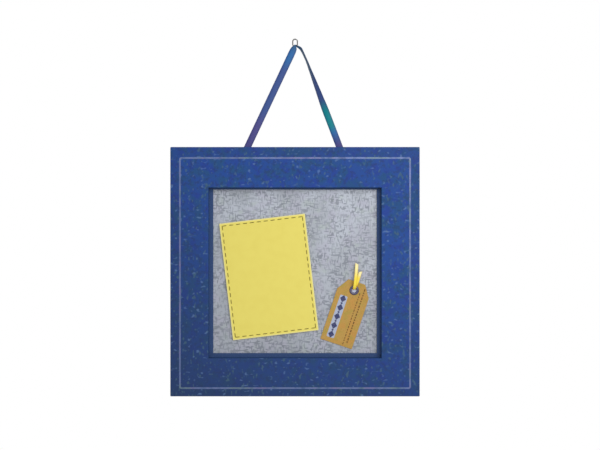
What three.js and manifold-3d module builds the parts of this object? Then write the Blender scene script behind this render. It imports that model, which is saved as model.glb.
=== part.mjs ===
// A square picture frame, wrapped in paper and hung by a ribbon from a small wire ring.
// Millimetres, +Z up, front towards -Y. The origin is the centre of the hanging ring.

import * as THREE from 'three';
import { mergeVertices } from 'three/addons/utils/BufferGeometryUtils.js';
import Module from 'manifold-3d';

const wasm = await Module();
wasm.setup();

// Frame and covering paper
const FRAME_SIDE = 254; // outer square, over the paper
const WINDOW_SIDE = 176; // square opening in the front, between the paper walls
const TOP_LIP = 2.5; // how much further the top rail reaches over the window
const RAIL_DEPTH = 15; // bare rail, front to back
const REBATE_WIDTH = 6; // step behind the window that holds the boards
const PAPER = 0.4; // covering paper
const FLANGE_WIDTH = 15; // paper turned over the back of the rails
const GLUE = 0.05; // adhesive film between glued faces
const MITRE_GLUE = 0.06; // adhesive film in the mitres

// Boards in the rebate, from the front
const SLIP_SHOWS = 4.05; // navy slip showing inside the window
const SLIP_THICKNESS = 2;
const SILVER_PAPER = 0.3;
const BOARD_THICKNESS = 2;
const BACKING_THICKNESS = 3;
const BOARD_FIT = 0.4; // room round the boards in the rebate

// Photo mat on its foam pads
const MAT_WIDTH = 88.4;
const MAT_HEIGHT = 120.3;
const MAT_THICKNESS = 0.8;
const MAT_ACROSS = -26.8; // mat centre from the frame centre
const MAT_UP = -5.7;
const MAT_TURN = 6.8; // degrees, anticlockwise from the front
const PAD_SIDE = 12;
const PAD_THICKNESS = 1;
const PAD_INSET = 6; // pad edge inside the mat edge

// Hang tag on its eyelet
const TAG_WIDTH = 34;
const TAG_BELOW = 58.2; // eyelet centre to the bottom edge
const TAG_ABOVE = 8.9; // eyelet centre to the top edge
const TAG_CLIP_WIDTH = 8;
const TAG_CLIP_HEIGHT = 12.5;
const TAG_THICKNESS = 0.6;
const TAG_LIFT = 0.3; // tag clear of the silver paper
const TAG_TURN = -18.7; // degrees, so the top leans right
const EYELET_ACROSS = 60.7; // eyelet centre from the frame centre
const EYELET_UP = -19.4;
const EYELET_BORE = 5;
const EYELET_WALL = 0.5;
const EYELET_FLOOR = 0.4; // closes the bore, level with the silver paper
const EYELET_FLANGE = 9.8;
const EYELET_HEIGHT = 0.95; // rolled flange above the tag
const EYELET_CURL = 9;
const CURL_HEIGHT = 0.9; // rolled curl behind the board
const RUN_GAP = 0.2; // room between faces that turn on each other

// Ribbon through the eyelet
const TIE_WIDTH = 3.2;
const TIE_THICKNESS = 0.4;

// Turn buttons and their screws
const BUTTON_WIDTH = 9;
const BUTTON_REACH = 14; // pivot to the long end
const BUTTON_TAIL = 5; // pivot to the short end
const BUTTON_THICKNESS = 1;
const BUTTON_INSET = 8; // pivot from the edge of the rebate
const COLLAR_WIDTH = 2; // round boss under the button, wall
const SCREW_SHANK = 3;
const SCREW_LENGTH = 9; // under the head
const SCREW_POINT = 2;
const SCREW_HEAD = 6;
const HEAD_HEIGHT = 1.7;
const HEAD_RIM = 0.6;
const SLOT_WIDTH = 0.8;
const SLOT_DEPTH = 0.7;

// Corner V-nails
const NAIL_LEG = 7;
const NAIL_THICKNESS = 0.6;
const NAIL_DEPTH = 7;
const NAIL_INSET = 9; // corner of the nail from the edge of the rebate
const DRIVEN_GAP = 0.2; // room round a driven nail, staple or screw

// Hanging ring and ribbon
const RING_TO_FRAME = 108.6; // ring centre to the top edge of the frame
const RING_RADIUS = 2.4; // round ends of the ring, to the middle of the wire
const RING_STRAIGHT = 2.8; // straight sides between them
const RING_WIRE = 1.2;
const RING_SPLIT = 0.3;
const RING_SPLIT_ANGLE = 50; // degrees from the right, where the upper end was closed
const RIBBON_WIDTH = 7;
const RIBBON_THICKNESS = 0.4;
const RIBBON_GATHER = 2.2; // width where the ribbon bunches in the ring
const GATHER_THICKNESS = 0.8;
const RING_ROOM = 0.5; // ribbon clear of the wire
const EXIT_LEFT = -49.5; // where the legs meet the top edge, from the frame centre
const EXIT_RIGHT = 46.3;
const TAIL_LENGTH = 24; // ribbon behind the top rail
const FOLD_GAP = 0.35; // each side of the fold at the top edge

// Staples
const STAPLE_CROWN = 9.6;
const STAPLE_WIRE = 0.7;
const STAPLE_BREADTH = 1.2;
const STAPLE_LEG = 6.5;
const STAPLE_BELOW = 14; // crown below the top edge, along the tail

// Levels, measured towards the viewer from the middle of the ribbon
const flangeBack = RIBBON_THICKNESS / 2 + GLUE;
const railBack = flangeBack + PAPER + GLUE;
const railFront = railBack + RAIL_DEPTH;
const frontFace = railFront + GLUE + PAPER;
const backingFront = railBack + BACKING_THICKNESS;
const boardBack = backingFront + GLUE;
const boardFront = boardBack + BOARD_THICKNESS;
const silverBack = boardFront + GLUE;
const silverFront = silverBack + SILVER_PAPER;
const slipBack = silverFront + GLUE;
const slipFront = slipBack + SLIP_THICKNESS;
const lipBack = slipFront + GLUE;
const padBack = silverFront + GLUE;
const matBack = padBack + PAD_THICKNESS + GLUE;
const tagBack = silverFront + TAG_LIFT;
const tagFront = tagBack + TAG_THICKNESS;
const buttonFront = flangeBack - RUN_GAP;
const buttonBack = buttonFront - BUTTON_THICKNESS;

// Half sizes, measured from the frame centre
const frameHalf = FRAME_SIDE / 2;
const windowHalf = WINDOW_SIDE / 2;
const coreHalf = frameHalf - PAPER - GLUE;
const lipHalf = windowHalf + PAPER + GLUE;
const rebateHalf = lipHalf + REBATE_WIDTH;
const boardHalf = rebateHalf - BOARD_FIT;
const sightHalf = windowHalf - SLIP_SHOWS;
const pivotUp = rebateHalf + BUTTON_INSET;
const nailCorner = rebateHalf + NAIL_INSET;
const barrelRadius = EYELET_BORE / 2 + EYELET_WALL;
const shankRadius = SCREW_SHANK / 2;
const pivotRadius = shankRadius + RUN_GAP;
const collarRadius = pivotRadius + COLLAR_WIDTH;

// Facets
const ROUND_STEPS = 24;
const RING_STEPS = 16; // round each end of the hanging ring
const WIRE_STEPS = 10; // round its wire
const ROLL_STEPS = 6; // over a rolled rim or a screw head

const SIDES = [
  { name: 'top', turn: 0 },
  { name: 'left', turn: Math.PI / 2 },
  { name: 'bottom', turn: Math.PI },
  { name: 'right', turn: -Math.PI / 2 },
];

const finish = (color, roughness, metalness = 0) =>
  new THREE.MeshStandardMaterial({ color, roughness, metalness });

const finishes = {
  fibreboard: finish(0xb08a5e, 0.85),
  bluePaper: finish(0x30508c, 0.55),
  navyCard: finish(0x283c60, 0.6),
  silverPaper: finish(0xa2aab6, 0.4, 0.3),
  greyboard: finish(0x8d8a84, 0.9),
  hardboard: finish(0x5f4530, 0.75),
  yellowCard: finish(0xe2d569, 0.7),
  foam: finish(0xf1f1ec, 0.9),
  kraftCard: finish(0xc6963a, 0.75),
  enamel: finish(0x474569, 0.35, 0.6),
  yellowRibbon: finish(0xf2dd4a, 0.4),
  hangingRibbon: finish(0x46559f, 0.4),
  nickel: finish(0x9a9da0, 0.25, 1),
  zinc: finish(0xa9adb0, 0.35, 1),
};

// Solids

function withTriangles(points, triangles) {
  const geometry = new THREE.BufferGeometry();
  geometry.setAttribute('position', new THREE.Float32BufferAttribute(points.flat(), 3));
  geometry.setIndex(triangles.flat());
  return geometry;
}

function toSolid(geometry) {
  const bare = geometry.clone();
  bare.deleteAttribute('normal');
  bare.deleteAttribute('uv');
  const merged = mergeVertices(bare);
  return new wasm.Manifold(new wasm.Mesh({
    numProp: 3,
    vertProperties: new Float32Array(merged.attributes.position.array),
    triVerts: new Uint32Array(merged.index.array),
  }));
}

function toGeometry(solid) {
  const { vertProperties, triVerts } = solid.getMesh();
  const geometry = new THREE.BufferGeometry();
  geometry.setAttribute('position', new THREE.BufferAttribute(new Float32Array(vertProperties), 3));
  geometry.setIndex(new THREE.BufferAttribute(new Uint32Array(triVerts), 1));
  return geometry;
}

const cut = (geometry, cutters) =>
  toGeometry(cutters.reduce((body, cutter) => body.subtract(toSolid(cutter)), toSolid(geometry)));

const join = (...geometries) =>
  toGeometry(geometries.map(toSolid).reduce((body, other) => body.add(other)));

// Six times the signed volume, negative when the faces point inwards
function signedVolume(points, triangles) {
  const corner = points.map(([x, y, z]) => new THREE.Vector3(x, y, z));
  const normal = new THREE.Vector3();
  return triangles.reduce(
    (sum, [a, b, c]) => sum + corner[a].dot(normal.crossVectors(corner[b], corner[c])), 0);
}

// A skin over rings of like corners, closed on itself or capped with the contour's triangles
function loft(rings, contour = null) {
  const count = rings[0].length;
  const spans = contour ? rings.length - 1 : rings.length;
  const triangles = [];
  for (let ring = 0; ring < spans; ring += 1) {
    const here = ring * count;
    const there = ((ring + 1) % rings.length) * count;
    for (let i = 0; i < count; i += 1) {
      const next = (i + 1) % count;
      triangles.push([here + i, here + next, there + next], [here + i, there + next, there + i]);
    }
  }
  if (contour) {
    const last = (rings.length - 1) * count;
    const flat = contour.map(([x, y]) => new THREE.Vector2(x, y));
    for (const [a, b, c] of THREE.ShapeUtils.triangulateShape(flat, [])) {
      const ahead = THREE.ShapeUtils.isClockWise(flat) ? [a, b, c] : [a, c, b];
      triangles.push(ahead, ahead.map((i) => last + i).reverse());
    }
  }
  const points = rings.flat();
  const outward = signedVolume(points, triangles) < 0
    ? triangles.map(([a, b, c]) => [a, c, b]) : triangles;
  return withTriangles(points, outward);
}

// A profile of [distance from the centre, level] carried along the top side between its mitres
function mitredSide(profile) {
  const trim = MITRE_GLUE * Math.SQRT1_2;
  const end = (side) => profile.map(([out, level]) => [side * (out - trim), out, level]);
  return loft([end(-1), end(1)], profile);
}

// The same kind of profile carried round all four sides in one piece, with the lower edge of the top lip
function mitredRing(profile) {
  const corners = [[1, 1], [-1, 1], [-1, -1], [1, -1]];
  const drop = (y, out) => (y > 0 && out < lipHalf ? TOP_LIP : 0);
  return loft(corners.map(([x, y]) => profile.map(
    ([out, level]) => [x * out, y * out - drop(y, out), level])));
}

// The way a route runs at one of its points
function runAt(points, i) {
  const before = points[Math.max(i - 1, 0)];
  const after = points[Math.min(i + 1, points.length - 1)];
  return new THREE.Vector3().subVectors(after, before).normalize();
}

// A flat strip through stations, each with its place, the way its width points, width and thickness
function strip(stations) {
  const points = stations.map(({ at }) => at);
  const corners = [[-1, -1], [1, -1], [1, 1], [-1, 1]];
  const rings = stations.map(({ at, across, width, thickness }, i) => {
    const through = runAt(points, i).cross(across).normalize();
    return corners.map(([side, face]) => at.clone()
      .addScaledVector(across, side * width / 2)
      .addScaledVector(through, face * thickness / 2)
      .toArray());
  });
  return loft(rings, corners);
}

function plate(shape, back, front) {
  const geometry = new THREE.ExtrudeGeometry(
    shape, { depth: front - back, bevelEnabled: false, curveSegments: ROUND_STEPS });
  return geometry.translate(0, 0, back);
}

function outline(points) {
  return new THREE.Shape(points.map(([x, y]) => new THREE.Vector2(x, y)));
}

// Points of an elliptical arc, from one angle to another in degrees
function arc([x, y], [radiusX, radiusY], from, to) {
  return Array.from({ length: ROLL_STEPS + 1 }, (_, step) => {
    const angle = THREE.MathUtils.degToRad(THREE.MathUtils.lerp(from, to, step / ROLL_STEPS));
    return [x + radiusX * Math.cos(angle), y + radiusY * Math.sin(angle)];
  });
}

function roundHole(x, y, radius) {
  const hole = new THREE.Path();
  hole.absarc(x, y, radius, 0, 2 * Math.PI);
  return hole;
}

function rectangle(width, height) {
  const [x, y] = [width / 2, height / 2];
  return outline([[-x, -y], [x, -y], [x, y], [-x, y]]);
}

// A round bar along the view direction, between two levels
function bar(x, y, radius, back, front) {
  const geometry = new THREE.CylinderGeometry(radius, radius, front - back, ROUND_STEPS);
  return geometry.rotateX(Math.PI / 2).translate(x, y, (back + front) / 2);
}

// Groups are drawn face-on: x across, y up, z towards the viewer
const pictureFrame = new THREE.Group();
const hanger = new THREE.Group();
const frame = new THREE.Group();
hanger.rotation.x = Math.PI / 2;
frame.rotation.x = Math.PI / 2;
frame.position.z = -(RING_TO_FRAME + frameHalf);
pictureFrame.add(hanger, frame);

function add(group, name, geometry, material) {
  const mesh = new THREE.Mesh(geometry, material);
  mesh.name = name;
  group.add(mesh);
  return mesh;
}

// Hanging ribbon: each leg runs from the ring to where it meets the top edge

const bightRadius = RING_WIRE / 2 + RING_ROOM + GATHER_THICKNESS / 2;
const legStart = new THREE.Vector3(0, -(RING_STRAIGHT / 2 + RING_RADIUS), 0);

const exitPoint = (exitAcross) => new THREE.Vector3(exitAcross, -RING_TO_FRAME, 0);
const legDirection = (exitAcross) => exitPoint(exitAcross).sub(legStart).normalize();

// Width vector of a strip lying face-on, rolled about its run by an angle in degrees
function acrossRun(along, roll) {
  const across = new THREE.Vector3(1, 0, 0);
  across.addScaledVector(along, -across.dot(along)).normalize();
  return across.applyAxisAngle(along, THREE.MathUtils.degToRad(roll));
}

// Hand-picked stations down each leg: share of the leg, bow to the right, share of the ring's depth
// offset, roll, and how far the ribbon has opened out from its gathered width
const LEFT_LEG = [
  [0.01, 0, 1, 0, 0.55], [0.03, 0, 1, 0, 0.85], [0.06, 0, 0.95, 0, 1], [0.25, 0, 0.6, 0, 1],
  [0.5, 0, 0.35, 0, 1], [0.75, 0, 0.15, 0, 1], [0.93, 0, 0, 0, 1],
];
const RIGHT_LEG = [
  [-0.008, 1.7, 0.9, 0, 0], [-0.001, 2.9, 1, 15, 0], [0.009, 4.2, 0.9, 45, 0.1], [0.022, 5, 0.7, 65, 0.3],
  [0.04, 5.25, 0.4, 75, 0.6], [0.065, 5.35, 0.1, 80, 0.9], [0.11, 5.4, -0.3, 80, 1], [0.15, 5.35, -0.4, 77, 1],
  [0.22, 4.9, -0.4, 72, 1], [0.29, 4.5, -0.35, 65, 1], [0.36, 4.05, -0.3, 57, 1], [0.44, 3.55, -0.2, 48, 1],
  [0.52, 3, -0.1, 37, 1], [0.62, 2.4, 0, 17, 1], [0.7, 1.9, 0, 5, 1], [0.78, 1.4, 0, 0, 1],
  [0.93, 0.45, 0, 0, 1],
];
const BIGHT_ANGLES = [0, 30, 60, 90, 120];

function legRows(leg, exitAcross, depth) {
  return leg.map(([share, bow, offset, roll, open]) => {
    const at = legStart.clone().lerp(exitPoint(exitAcross), share);
    return { at: at.add(new THREE.Vector3(bow, 0, offset * depth)), roll, open };
  });
}

const bightRows = BIGHT_ANGLES.map((degrees) => {
  const angle = THREE.MathUtils.degToRad(degrees);
  const at = new THREE.Vector3(0, Math.sin(angle), Math.cos(angle)).multiplyScalar(bightRadius);
  return { at: at.add(legStart), roll: 0, open: 0 };
});

// At the fold the ribbon is cut level with the top edge of the frame
function foldStation(at, along) {
  return {
    at,
    across: new THREE.Vector3(1, 0, 0),
    width: RIBBON_WIDTH / Math.abs(along.y),
    thickness: RIBBON_THICKNESS,
  };
}

function foldAbove(exitAcross) {
  const along = legDirection(exitAcross);
  return foldStation(exitPoint(exitAcross).addScaledVector(along, FOLD_GAP / along.y), along);
}

const loopRows = [
  ...legRows(LEFT_LEG, EXIT_LEFT, bightRadius).reverse(),
  ...bightRows,
  ...legRows(RIGHT_LEG, EXIT_RIGHT, -bightRadius),
];
const loopPoints = loopRows.map(({ at }) => at);
const loopStations = loopRows.map(({ at, roll, open }, i) => ({
  at,
  across: acrossRun(runAt(loopPoints, i), roll),
  width: THREE.MathUtils.lerp(RIBBON_GATHER, RIBBON_WIDTH, open),
  thickness: THREE.MathUtils.lerp(GATHER_THICKNESS, RIBBON_THICKNESS, open),
}));
const ribbonLoop = strip([foldAbove(EXIT_LEFT), ...loopStations, foldAbove(EXIT_RIGHT)]);
add(hanger, 'hanging_ribbon', ribbonLoop, finishes.hangingRibbon);

// The ring: wire bent to two round ends with straight sides, closed on the upper end
function ringWire() {
  const ends = [[1, 0], [-1, 180]];
  return loft(ends.flatMap(([end, start]) => Array.from({ length: RING_STEPS + 1 }, (_, step) => {
    const angle = THREE.MathUtils.degToRad(start + 180 * step / RING_STEPS);
    const outward = new THREE.Vector3(Math.cos(angle), Math.sin(angle), 0);
    const middle = outward.clone().multiplyScalar(RING_RADIUS);
    middle.y += end * RING_STRAIGHT / 2;
    return Array.from({ length: WIRE_STEPS }, (__, side) => {
      const round = 2 * Math.PI * side / WIRE_STEPS;
      const rim = outward.clone().multiplyScalar(Math.cos(round)).setZ(Math.sin(round));
      return middle.clone().addScaledVector(rim, RING_WIRE / 2).toArray();
    });
  })));
}

const splitCutter = new THREE.BoxGeometry(2 * RING_WIRE, RING_SPLIT, 2 * RING_WIRE)
  .translate(RING_RADIUS, 0, 0)
  .rotateZ(THREE.MathUtils.degToRad(RING_SPLIT_ANGLE))
  .translate(0, RING_STRAIGHT / 2, 0);
add(hanger, 'hanging_ring', cut(ringWire(), [splitCutter]), finishes.nickel);

// Ribbon tails on the back of the top rail, each under a staple

const tailEnds = [['left', EXIT_LEFT], ['right', EXIT_RIGHT]].map(([side, exitAcross]) => {
  const along = legDirection(exitAcross);
  const top = new THREE.Vector3(exitAcross, frameHalf, 0);
  return { side, along, top, across: acrossRun(along, 0) };
});

for (const { side, along, top, across } of tailEnds) {
  const fold = foldStation(top.clone().addScaledVector(along, -FOLD_GAP / along.y), along);
  const level = { across, width: RIBBON_WIDTH, thickness: RIBBON_THICKNESS };
  const tail = strip([
    fold,
    { at: top.clone().addScaledVector(along, RIBBON_WIDTH / 2), ...level },
    { at: top.clone().addScaledVector(along, TAIL_LENGTH), ...level },
  ]);
  add(frame, `ribbon_end_${side}`, tail, finishes.hangingRibbon);
}

const crownFront = -RIBBON_THICKNESS / 2 - GLUE;
const crownBack = crownFront - STAPLE_WIRE;
const stapleTip = crownFront + STAPLE_LEG;

const staples = tailEnds.map(({ side, along, top, across }) => ({
  side,
  at: top.clone().addScaledVector(along, STAPLE_BELOW),
  turn: Math.atan2(across.y, across.x),
}));

function stapleGeometry() {
  const outer = STAPLE_CROWN / 2;
  const inner = outer - STAPLE_WIRE;
  const bow = outline([
    [-outer, crownBack], [outer, crownBack], [outer, stapleTip], [inner, stapleTip],
    [inner, crownFront], [-inner, crownFront], [-inner, stapleTip], [-outer, stapleTip],
  ]);
  return plate(bow, -STAPLE_BREADTH / 2, STAPLE_BREADTH / 2).rotateX(Math.PI / 2);
}

for (const { side, at, turn } of staples) {
  const staple = add(frame, `staple_${side}`, stapleGeometry(), finishes.zinc);
  staple.position.set(at.x, at.y, 0);
  staple.rotation.z = turn;
}

const stapleSlots = staples.flatMap(({ at, turn }) => {
  const legMiddle = STAPLE_CROWN / 2 - STAPLE_WIRE / 2;
  const slot = [
    STAPLE_WIRE + 2 * DRIVEN_GAP, STAPLE_BREADTH + 2 * DRIVEN_GAP, 2 * (stapleTip + DRIVEN_GAP),
  ];
  return [-legMiddle, legMiddle].map((x) => new THREE.BoxGeometry(...slot)
    .translate(x, 0, 0).rotateZ(turn).translate(at.x, at.y, 0));
});

// Covering paper: up the window wall, over the front and sides, and turned over the back.
// It is pierced by the staples, and by the collars of the turn buttons where it reaches them.

const paperProfile = [
  [windowHalf, lipBack],
  [windowHalf, frontFace],
  [frameHalf, frontFace],
  [frameHalf, flangeBack],
  [frameHalf - FLANGE_WIDTH, flangeBack],
  [frameHalf - FLANGE_WIDTH, flangeBack + PAPER],
  [frameHalf - PAPER, flangeBack + PAPER],
  [frameHalf - PAPER, frontFace - PAPER],
  [windowHalf + PAPER, frontFace - PAPER],
  [windowHalf + PAPER, lipBack],
];
const collarHole = bar(0, pivotUp, collarRadius + DRIVEN_GAP, 0, railBack);
const collarHoles = SIDES.map(({ turn }) => collarHole.clone().rotateZ(turn));
add(frame, 'cover_paper', cut(mitredRing(paperProfile), [...stapleSlots, ...collarHoles]),
  finishes.bluePaper);

// Rails: mitred, rebated behind the window, nailed at the corners

const railProfile = [
  [lipHalf, lipBack],
  [lipHalf, railFront],
  [coreHalf, railFront],
  [coreHalf, railBack],
  [rebateHalf, railBack],
  [rebateHalf, lipBack],
];

// The V-nail's outline at a corner of the frame, with some room round it
function nailOutline(room) {
  const outer = nailCorner + room;
  const inner = nailCorner - NAIL_THICKNESS - room;
  const end = nailCorner - NAIL_LEG - room;
  return outline([
    [outer, outer], [end, outer], [end, inner], [inner, inner], [inner, end], [outer, end],
  ]);
}

const nailFront = railBack + NAIL_DEPTH;
const nailPocket = plate(nailOutline(DRIVEN_GAP), 0, nailFront + DRIVEN_GAP);
const nailPockets = [nailPocket, nailPocket.clone().rotateZ(Math.PI / 2)];

const headFront = buttonBack - RUN_GAP;
const screwTip = headFront + SCREW_LENGTH;
const pilotHole = bar(0, pivotUp, shankRadius + DRIVEN_GAP, 0, screwTip + DRIVEN_GAP);

// The top rail's lip reaches down between the side rails
const topLip = new THREE.BoxGeometry(2 * (lipHalf - MITRE_GLUE), 2 * TOP_LIP, railFront - lipBack)
  .translate(0, lipHalf, (lipBack + railFront) / 2);

for (const { name, turn } of SIDES) {
  const isTop = name === 'top';
  const cutters = [...nailPockets, pilotHole, ...(isTop ? stapleSlots : [])];
  const bare = isTop ? join(mitredSide(railProfile), topLip) : mitredSide(railProfile);
  const rail = add(frame, `rail_${name}`, cut(bare, cutters), finishes.fibreboard);
  rail.rotation.z = turn;
}

SIDES.forEach(({ turn }, i) => {
  const nail = add(frame, `corner_nail_${i + 1}`, plate(nailOutline(0), railBack, nailFront), finishes.zinc);
  nail.rotation.z = turn;
});

// Navy slip, display board with its silver paper, and backing

const slipProfile = [
  [sightHalf, slipBack], [sightHalf, slipFront], [boardHalf, slipFront], [boardHalf, slipBack],
];
for (const { name, turn } of SIDES) {
  const slip = add(frame, `slip_${name}`, mitredSide(slipProfile), finishes.navyCard);
  slip.rotation.z = turn;
}

const eyeletHole = barrelRadius + RUN_GAP;
const panel = rectangle(2 * boardHalf, 2 * boardHalf);
panel.holes.push(roundHole(EYELET_ACROSS, EYELET_UP, eyeletHole));
add(frame, 'silver_paper', plate(panel, silverBack, silverFront), finishes.silverPaper);
add(frame, 'display_board', plate(panel, boardBack, boardFront), finishes.greyboard);

const curlFront = boardBack - RUN_GAP;
const curlBack = curlFront - CURL_HEIGHT;
const curlRecess = bar(
  EYELET_ACROSS, EYELET_UP, EYELET_CURL / 2 + RUN_GAP, curlBack - RUN_GAP, backingFront + RUN_GAP);
const backing = plate(rectangle(2 * boardHalf, 2 * boardHalf), railBack, backingFront);
add(frame, 'backing_board', cut(backing, [curlRecess]), finishes.hardboard);

// Turn buttons and screws, one at the middle of each rail

function buttonGeometry() {
  const radius = BUTTON_WIDTH / 2;
  const longEnd = -(BUTTON_REACH - radius);
  const shortEnd = BUTTON_TAIL - radius;
  const blade = new THREE.Shape();
  blade.moveTo(radius, longEnd);
  blade.lineTo(radius, shortEnd);
  blade.absarc(0, shortEnd, radius, 0, Math.PI);
  blade.lineTo(-radius, longEnd);
  blade.absarc(0, longEnd, radius, Math.PI, 2 * Math.PI);
  blade.holes.push(roundHole(0, 0, pivotRadius));
  const collar = new THREE.Shape();
  collar.absarc(0, 0, collarRadius, 0, 2 * Math.PI);
  collar.holes.push(roundHole(0, 0, pivotRadius));
  return join(
    plate(blade, buttonBack, buttonFront),
    plate(collar, buttonBack + BUTTON_THICKNESS / 2, railBack - GLUE),
  );
}

function screwGeometry() {
  const head = SCREW_HEAD / 2;
  const profile = [
    [0, -SCREW_LENGTH], [shankRadius, SCREW_POINT - SCREW_LENGTH], [shankRadius, 0], [head, 0],
    ...arc([0, HEAD_RIM], [head, HEAD_HEIGHT - HEAD_RIM], 0, 90),
  ];
  const turned = new THREE.LatheGeometry(
    profile.map(([radius, height]) => new THREE.Vector2(radius, height)), ROUND_STEPS);
  const slot = new THREE.BoxGeometry(2 * SCREW_HEAD, 2 * SLOT_DEPTH, SLOT_WIDTH)
    .translate(0, HEAD_HEIGHT, 0);
  return cut(turned, [slot]).rotateX(-Math.PI / 2).translate(0, 0, headFront);
}

for (const { name, turn } of SIDES) {
  const fixing = new THREE.Group();
  fixing.rotation.z = turn;
  frame.add(fixing);
  const button = add(fixing, `turn_button_${name}`, buttonGeometry(), finishes.zinc);
  const screw = add(fixing, `turn_button_screw_${name}`, screwGeometry(), finishes.zinc);
  button.position.y = pivotUp;
  screw.position.y = pivotUp;
}

// Photo mat on four foam pads

const mat = new THREE.Group();
mat.position.set(MAT_ACROSS, MAT_UP, 0);
mat.rotation.z = THREE.MathUtils.degToRad(MAT_TURN);
frame.add(mat);
add(mat, 'photo_mat', plate(rectangle(MAT_WIDTH, MAT_HEIGHT), matBack, matBack + MAT_THICKNESS),
  finishes.yellowCard);

const padAcross = MAT_WIDTH / 2 - PAD_INSET - PAD_SIDE / 2;
const padUp = MAT_HEIGHT / 2 - PAD_INSET - PAD_SIDE / 2;
const padCorners = [[-1, 1], [1, 1], [1, -1], [-1, -1]];
padCorners.forEach(([x, y], i) => {
  const pad = plate(rectangle(PAD_SIDE, PAD_SIDE), padBack, padBack + PAD_THICKNESS);
  add(mat, `foam_pad_${i + 1}`, pad.translate(x * padAcross, y * padUp, 0), finishes.foam);
});

// Hang tag, its eyelet and the ribbon drawn through it

const eyelet = new THREE.Group();
eyelet.position.set(EYELET_ACROSS, EYELET_UP, 0);
frame.add(eyelet);

const tagSide = TAG_WIDTH / 2;
const tagTop = tagSide - TAG_CLIP_WIDTH;
const tagShoulder = TAG_ABOVE - TAG_CLIP_HEIGHT;
const tagShape = outline([
  [-tagSide, -TAG_BELOW], [tagSide, -TAG_BELOW], [tagSide, tagShoulder], [tagTop, TAG_ABOVE],
  [-tagTop, TAG_ABOVE], [-tagSide, tagShoulder],
]);
tagShape.holes.push(roundHole(0, 0, eyeletHole));
const tag = add(eyelet, 'tag_card', plate(tagShape, tagBack, tagFront), finishes.kraftCard);
tag.rotation.z = THREE.MathUtils.degToRad(TAG_TURN);

const bore = EYELET_BORE / 2;
const flange = EYELET_FLANGE / 2;
const curl = EYELET_CURL / 2;
const flangeSeat = tagFront + RUN_GAP;
const floorFront = silverFront;
const floorBack = floorFront - EYELET_FLOOR;
const eyeletProfile = [
  [0, floorBack],
  [bore, floorBack],
  ...arc([(curl + bore) / 2, curlFront], [(curl - bore) / 2, CURL_HEIGHT], 180, 360),
  [barrelRadius, curlFront],
  [barrelRadius, flangeSeat],
  ...arc([(flange + bore) / 2, flangeSeat], [(flange - bore) / 2, EYELET_HEIGHT], 0, 180),
  [bore, floorFront],
  [0, floorFront],
];
const eyeletCup = new THREE.LatheGeometry(
  eyeletProfile.map(([radius, level]) => new THREE.Vector2(radius, level)), ROUND_STEPS);
add(eyelet, 'tag_eyelet', join(eyeletCup).rotateX(Math.PI / 2), finishes.enamel);

// Hand-picked route of the tie: across, up and towards the viewer from the front of the silver paper.
// The long tail comes down to the eyelet, folds back inside it and leaves as the short tail.
const TIE_ROUTE = [
  [2.7, 27.3, 2.6], [2.3, 22, 3.5], [1.8, 16, 4.3], [1.2, 10, 4.8], [0.8, 6, 4.7], [0.4, 3.6, 4],
  [0.2, 2.2, 3.2], [0.05, 1.15, 2.3], [0, 0.65, 1.6], [0, 0.5, 1.1], [0, 0.62, 0.72], [0, 1, 0.55],
  [0, 1.38, 0.72], [0, 1.5, 1.1], [0, 1.55, 1.6], [0.12, 2, 2.3], [0.35, 2.75, 2.8], [0.9, 3.9, 3.1],
  [2.1, 6.4, 3.2], [3.6, 10.2, 3], [5.1, 14.8, 2.5], [6.5, 19, 1.9],
];
const tiePoints = TIE_ROUTE.map(([x, y, z]) => new THREE.Vector3(x, y, silverFront + z));
const tie = strip(tiePoints.map((at, i) => ({
  at, across: acrossRun(runAt(tiePoints, i), 0), width: TIE_WIDTH, thickness: TIE_THICKNESS,
})));
add(eyelet, 'tag_tie', tie, finishes.yellowRibbon);

export default pictureFrame;
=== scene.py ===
"""A square picture frame wrapped in flecked paper, hung by a ribbon from a small wire ring.

Metres, +Z up, front towards -Y, with the origin at the centre of the hanging ring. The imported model
gives the sizes and places, and the operators dress it in paper, card, ribbon, thread and metal.
"""

import math
from dataclasses import dataclass

import bmesh
import bpy
from mathutils import Matrix, Vector


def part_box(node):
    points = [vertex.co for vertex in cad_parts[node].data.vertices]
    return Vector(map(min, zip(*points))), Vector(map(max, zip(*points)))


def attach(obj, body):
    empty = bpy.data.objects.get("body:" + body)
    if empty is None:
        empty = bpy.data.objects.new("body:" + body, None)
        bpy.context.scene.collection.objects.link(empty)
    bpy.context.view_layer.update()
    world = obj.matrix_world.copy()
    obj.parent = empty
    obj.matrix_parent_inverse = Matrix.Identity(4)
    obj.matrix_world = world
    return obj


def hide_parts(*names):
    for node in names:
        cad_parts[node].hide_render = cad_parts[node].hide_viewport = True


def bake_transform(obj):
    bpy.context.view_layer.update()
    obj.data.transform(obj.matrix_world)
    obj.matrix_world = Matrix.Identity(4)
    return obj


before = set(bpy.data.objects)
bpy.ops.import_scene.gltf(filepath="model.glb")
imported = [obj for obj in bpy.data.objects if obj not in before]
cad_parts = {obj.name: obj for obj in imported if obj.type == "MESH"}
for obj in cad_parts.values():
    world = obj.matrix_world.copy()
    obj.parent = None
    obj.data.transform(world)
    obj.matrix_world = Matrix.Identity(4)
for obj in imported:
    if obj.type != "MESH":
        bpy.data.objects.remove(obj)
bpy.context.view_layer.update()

bl_info = {
    "name": "Ribbon-hung Picture Frame",
    "version": (1, 0, 0),
    "blender": (4, 5, 0),
    "location": "View3D > Sidebar > Picture Frame",
    "description": "Dresses a paper-wrapped picture frame with its mat, hang tag and ribbon hanger",
    "category": "Object",
}

MM = 0.001


def levels(node):
    """Back and front of a CAD node, measured towards the viewer from the middle of the ribbon."""
    low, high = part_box(node)
    return -high.y, -low.y


def middle(node):
    """Centre of a CAD node."""
    low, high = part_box(node)
    return (low + high) / 2


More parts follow.
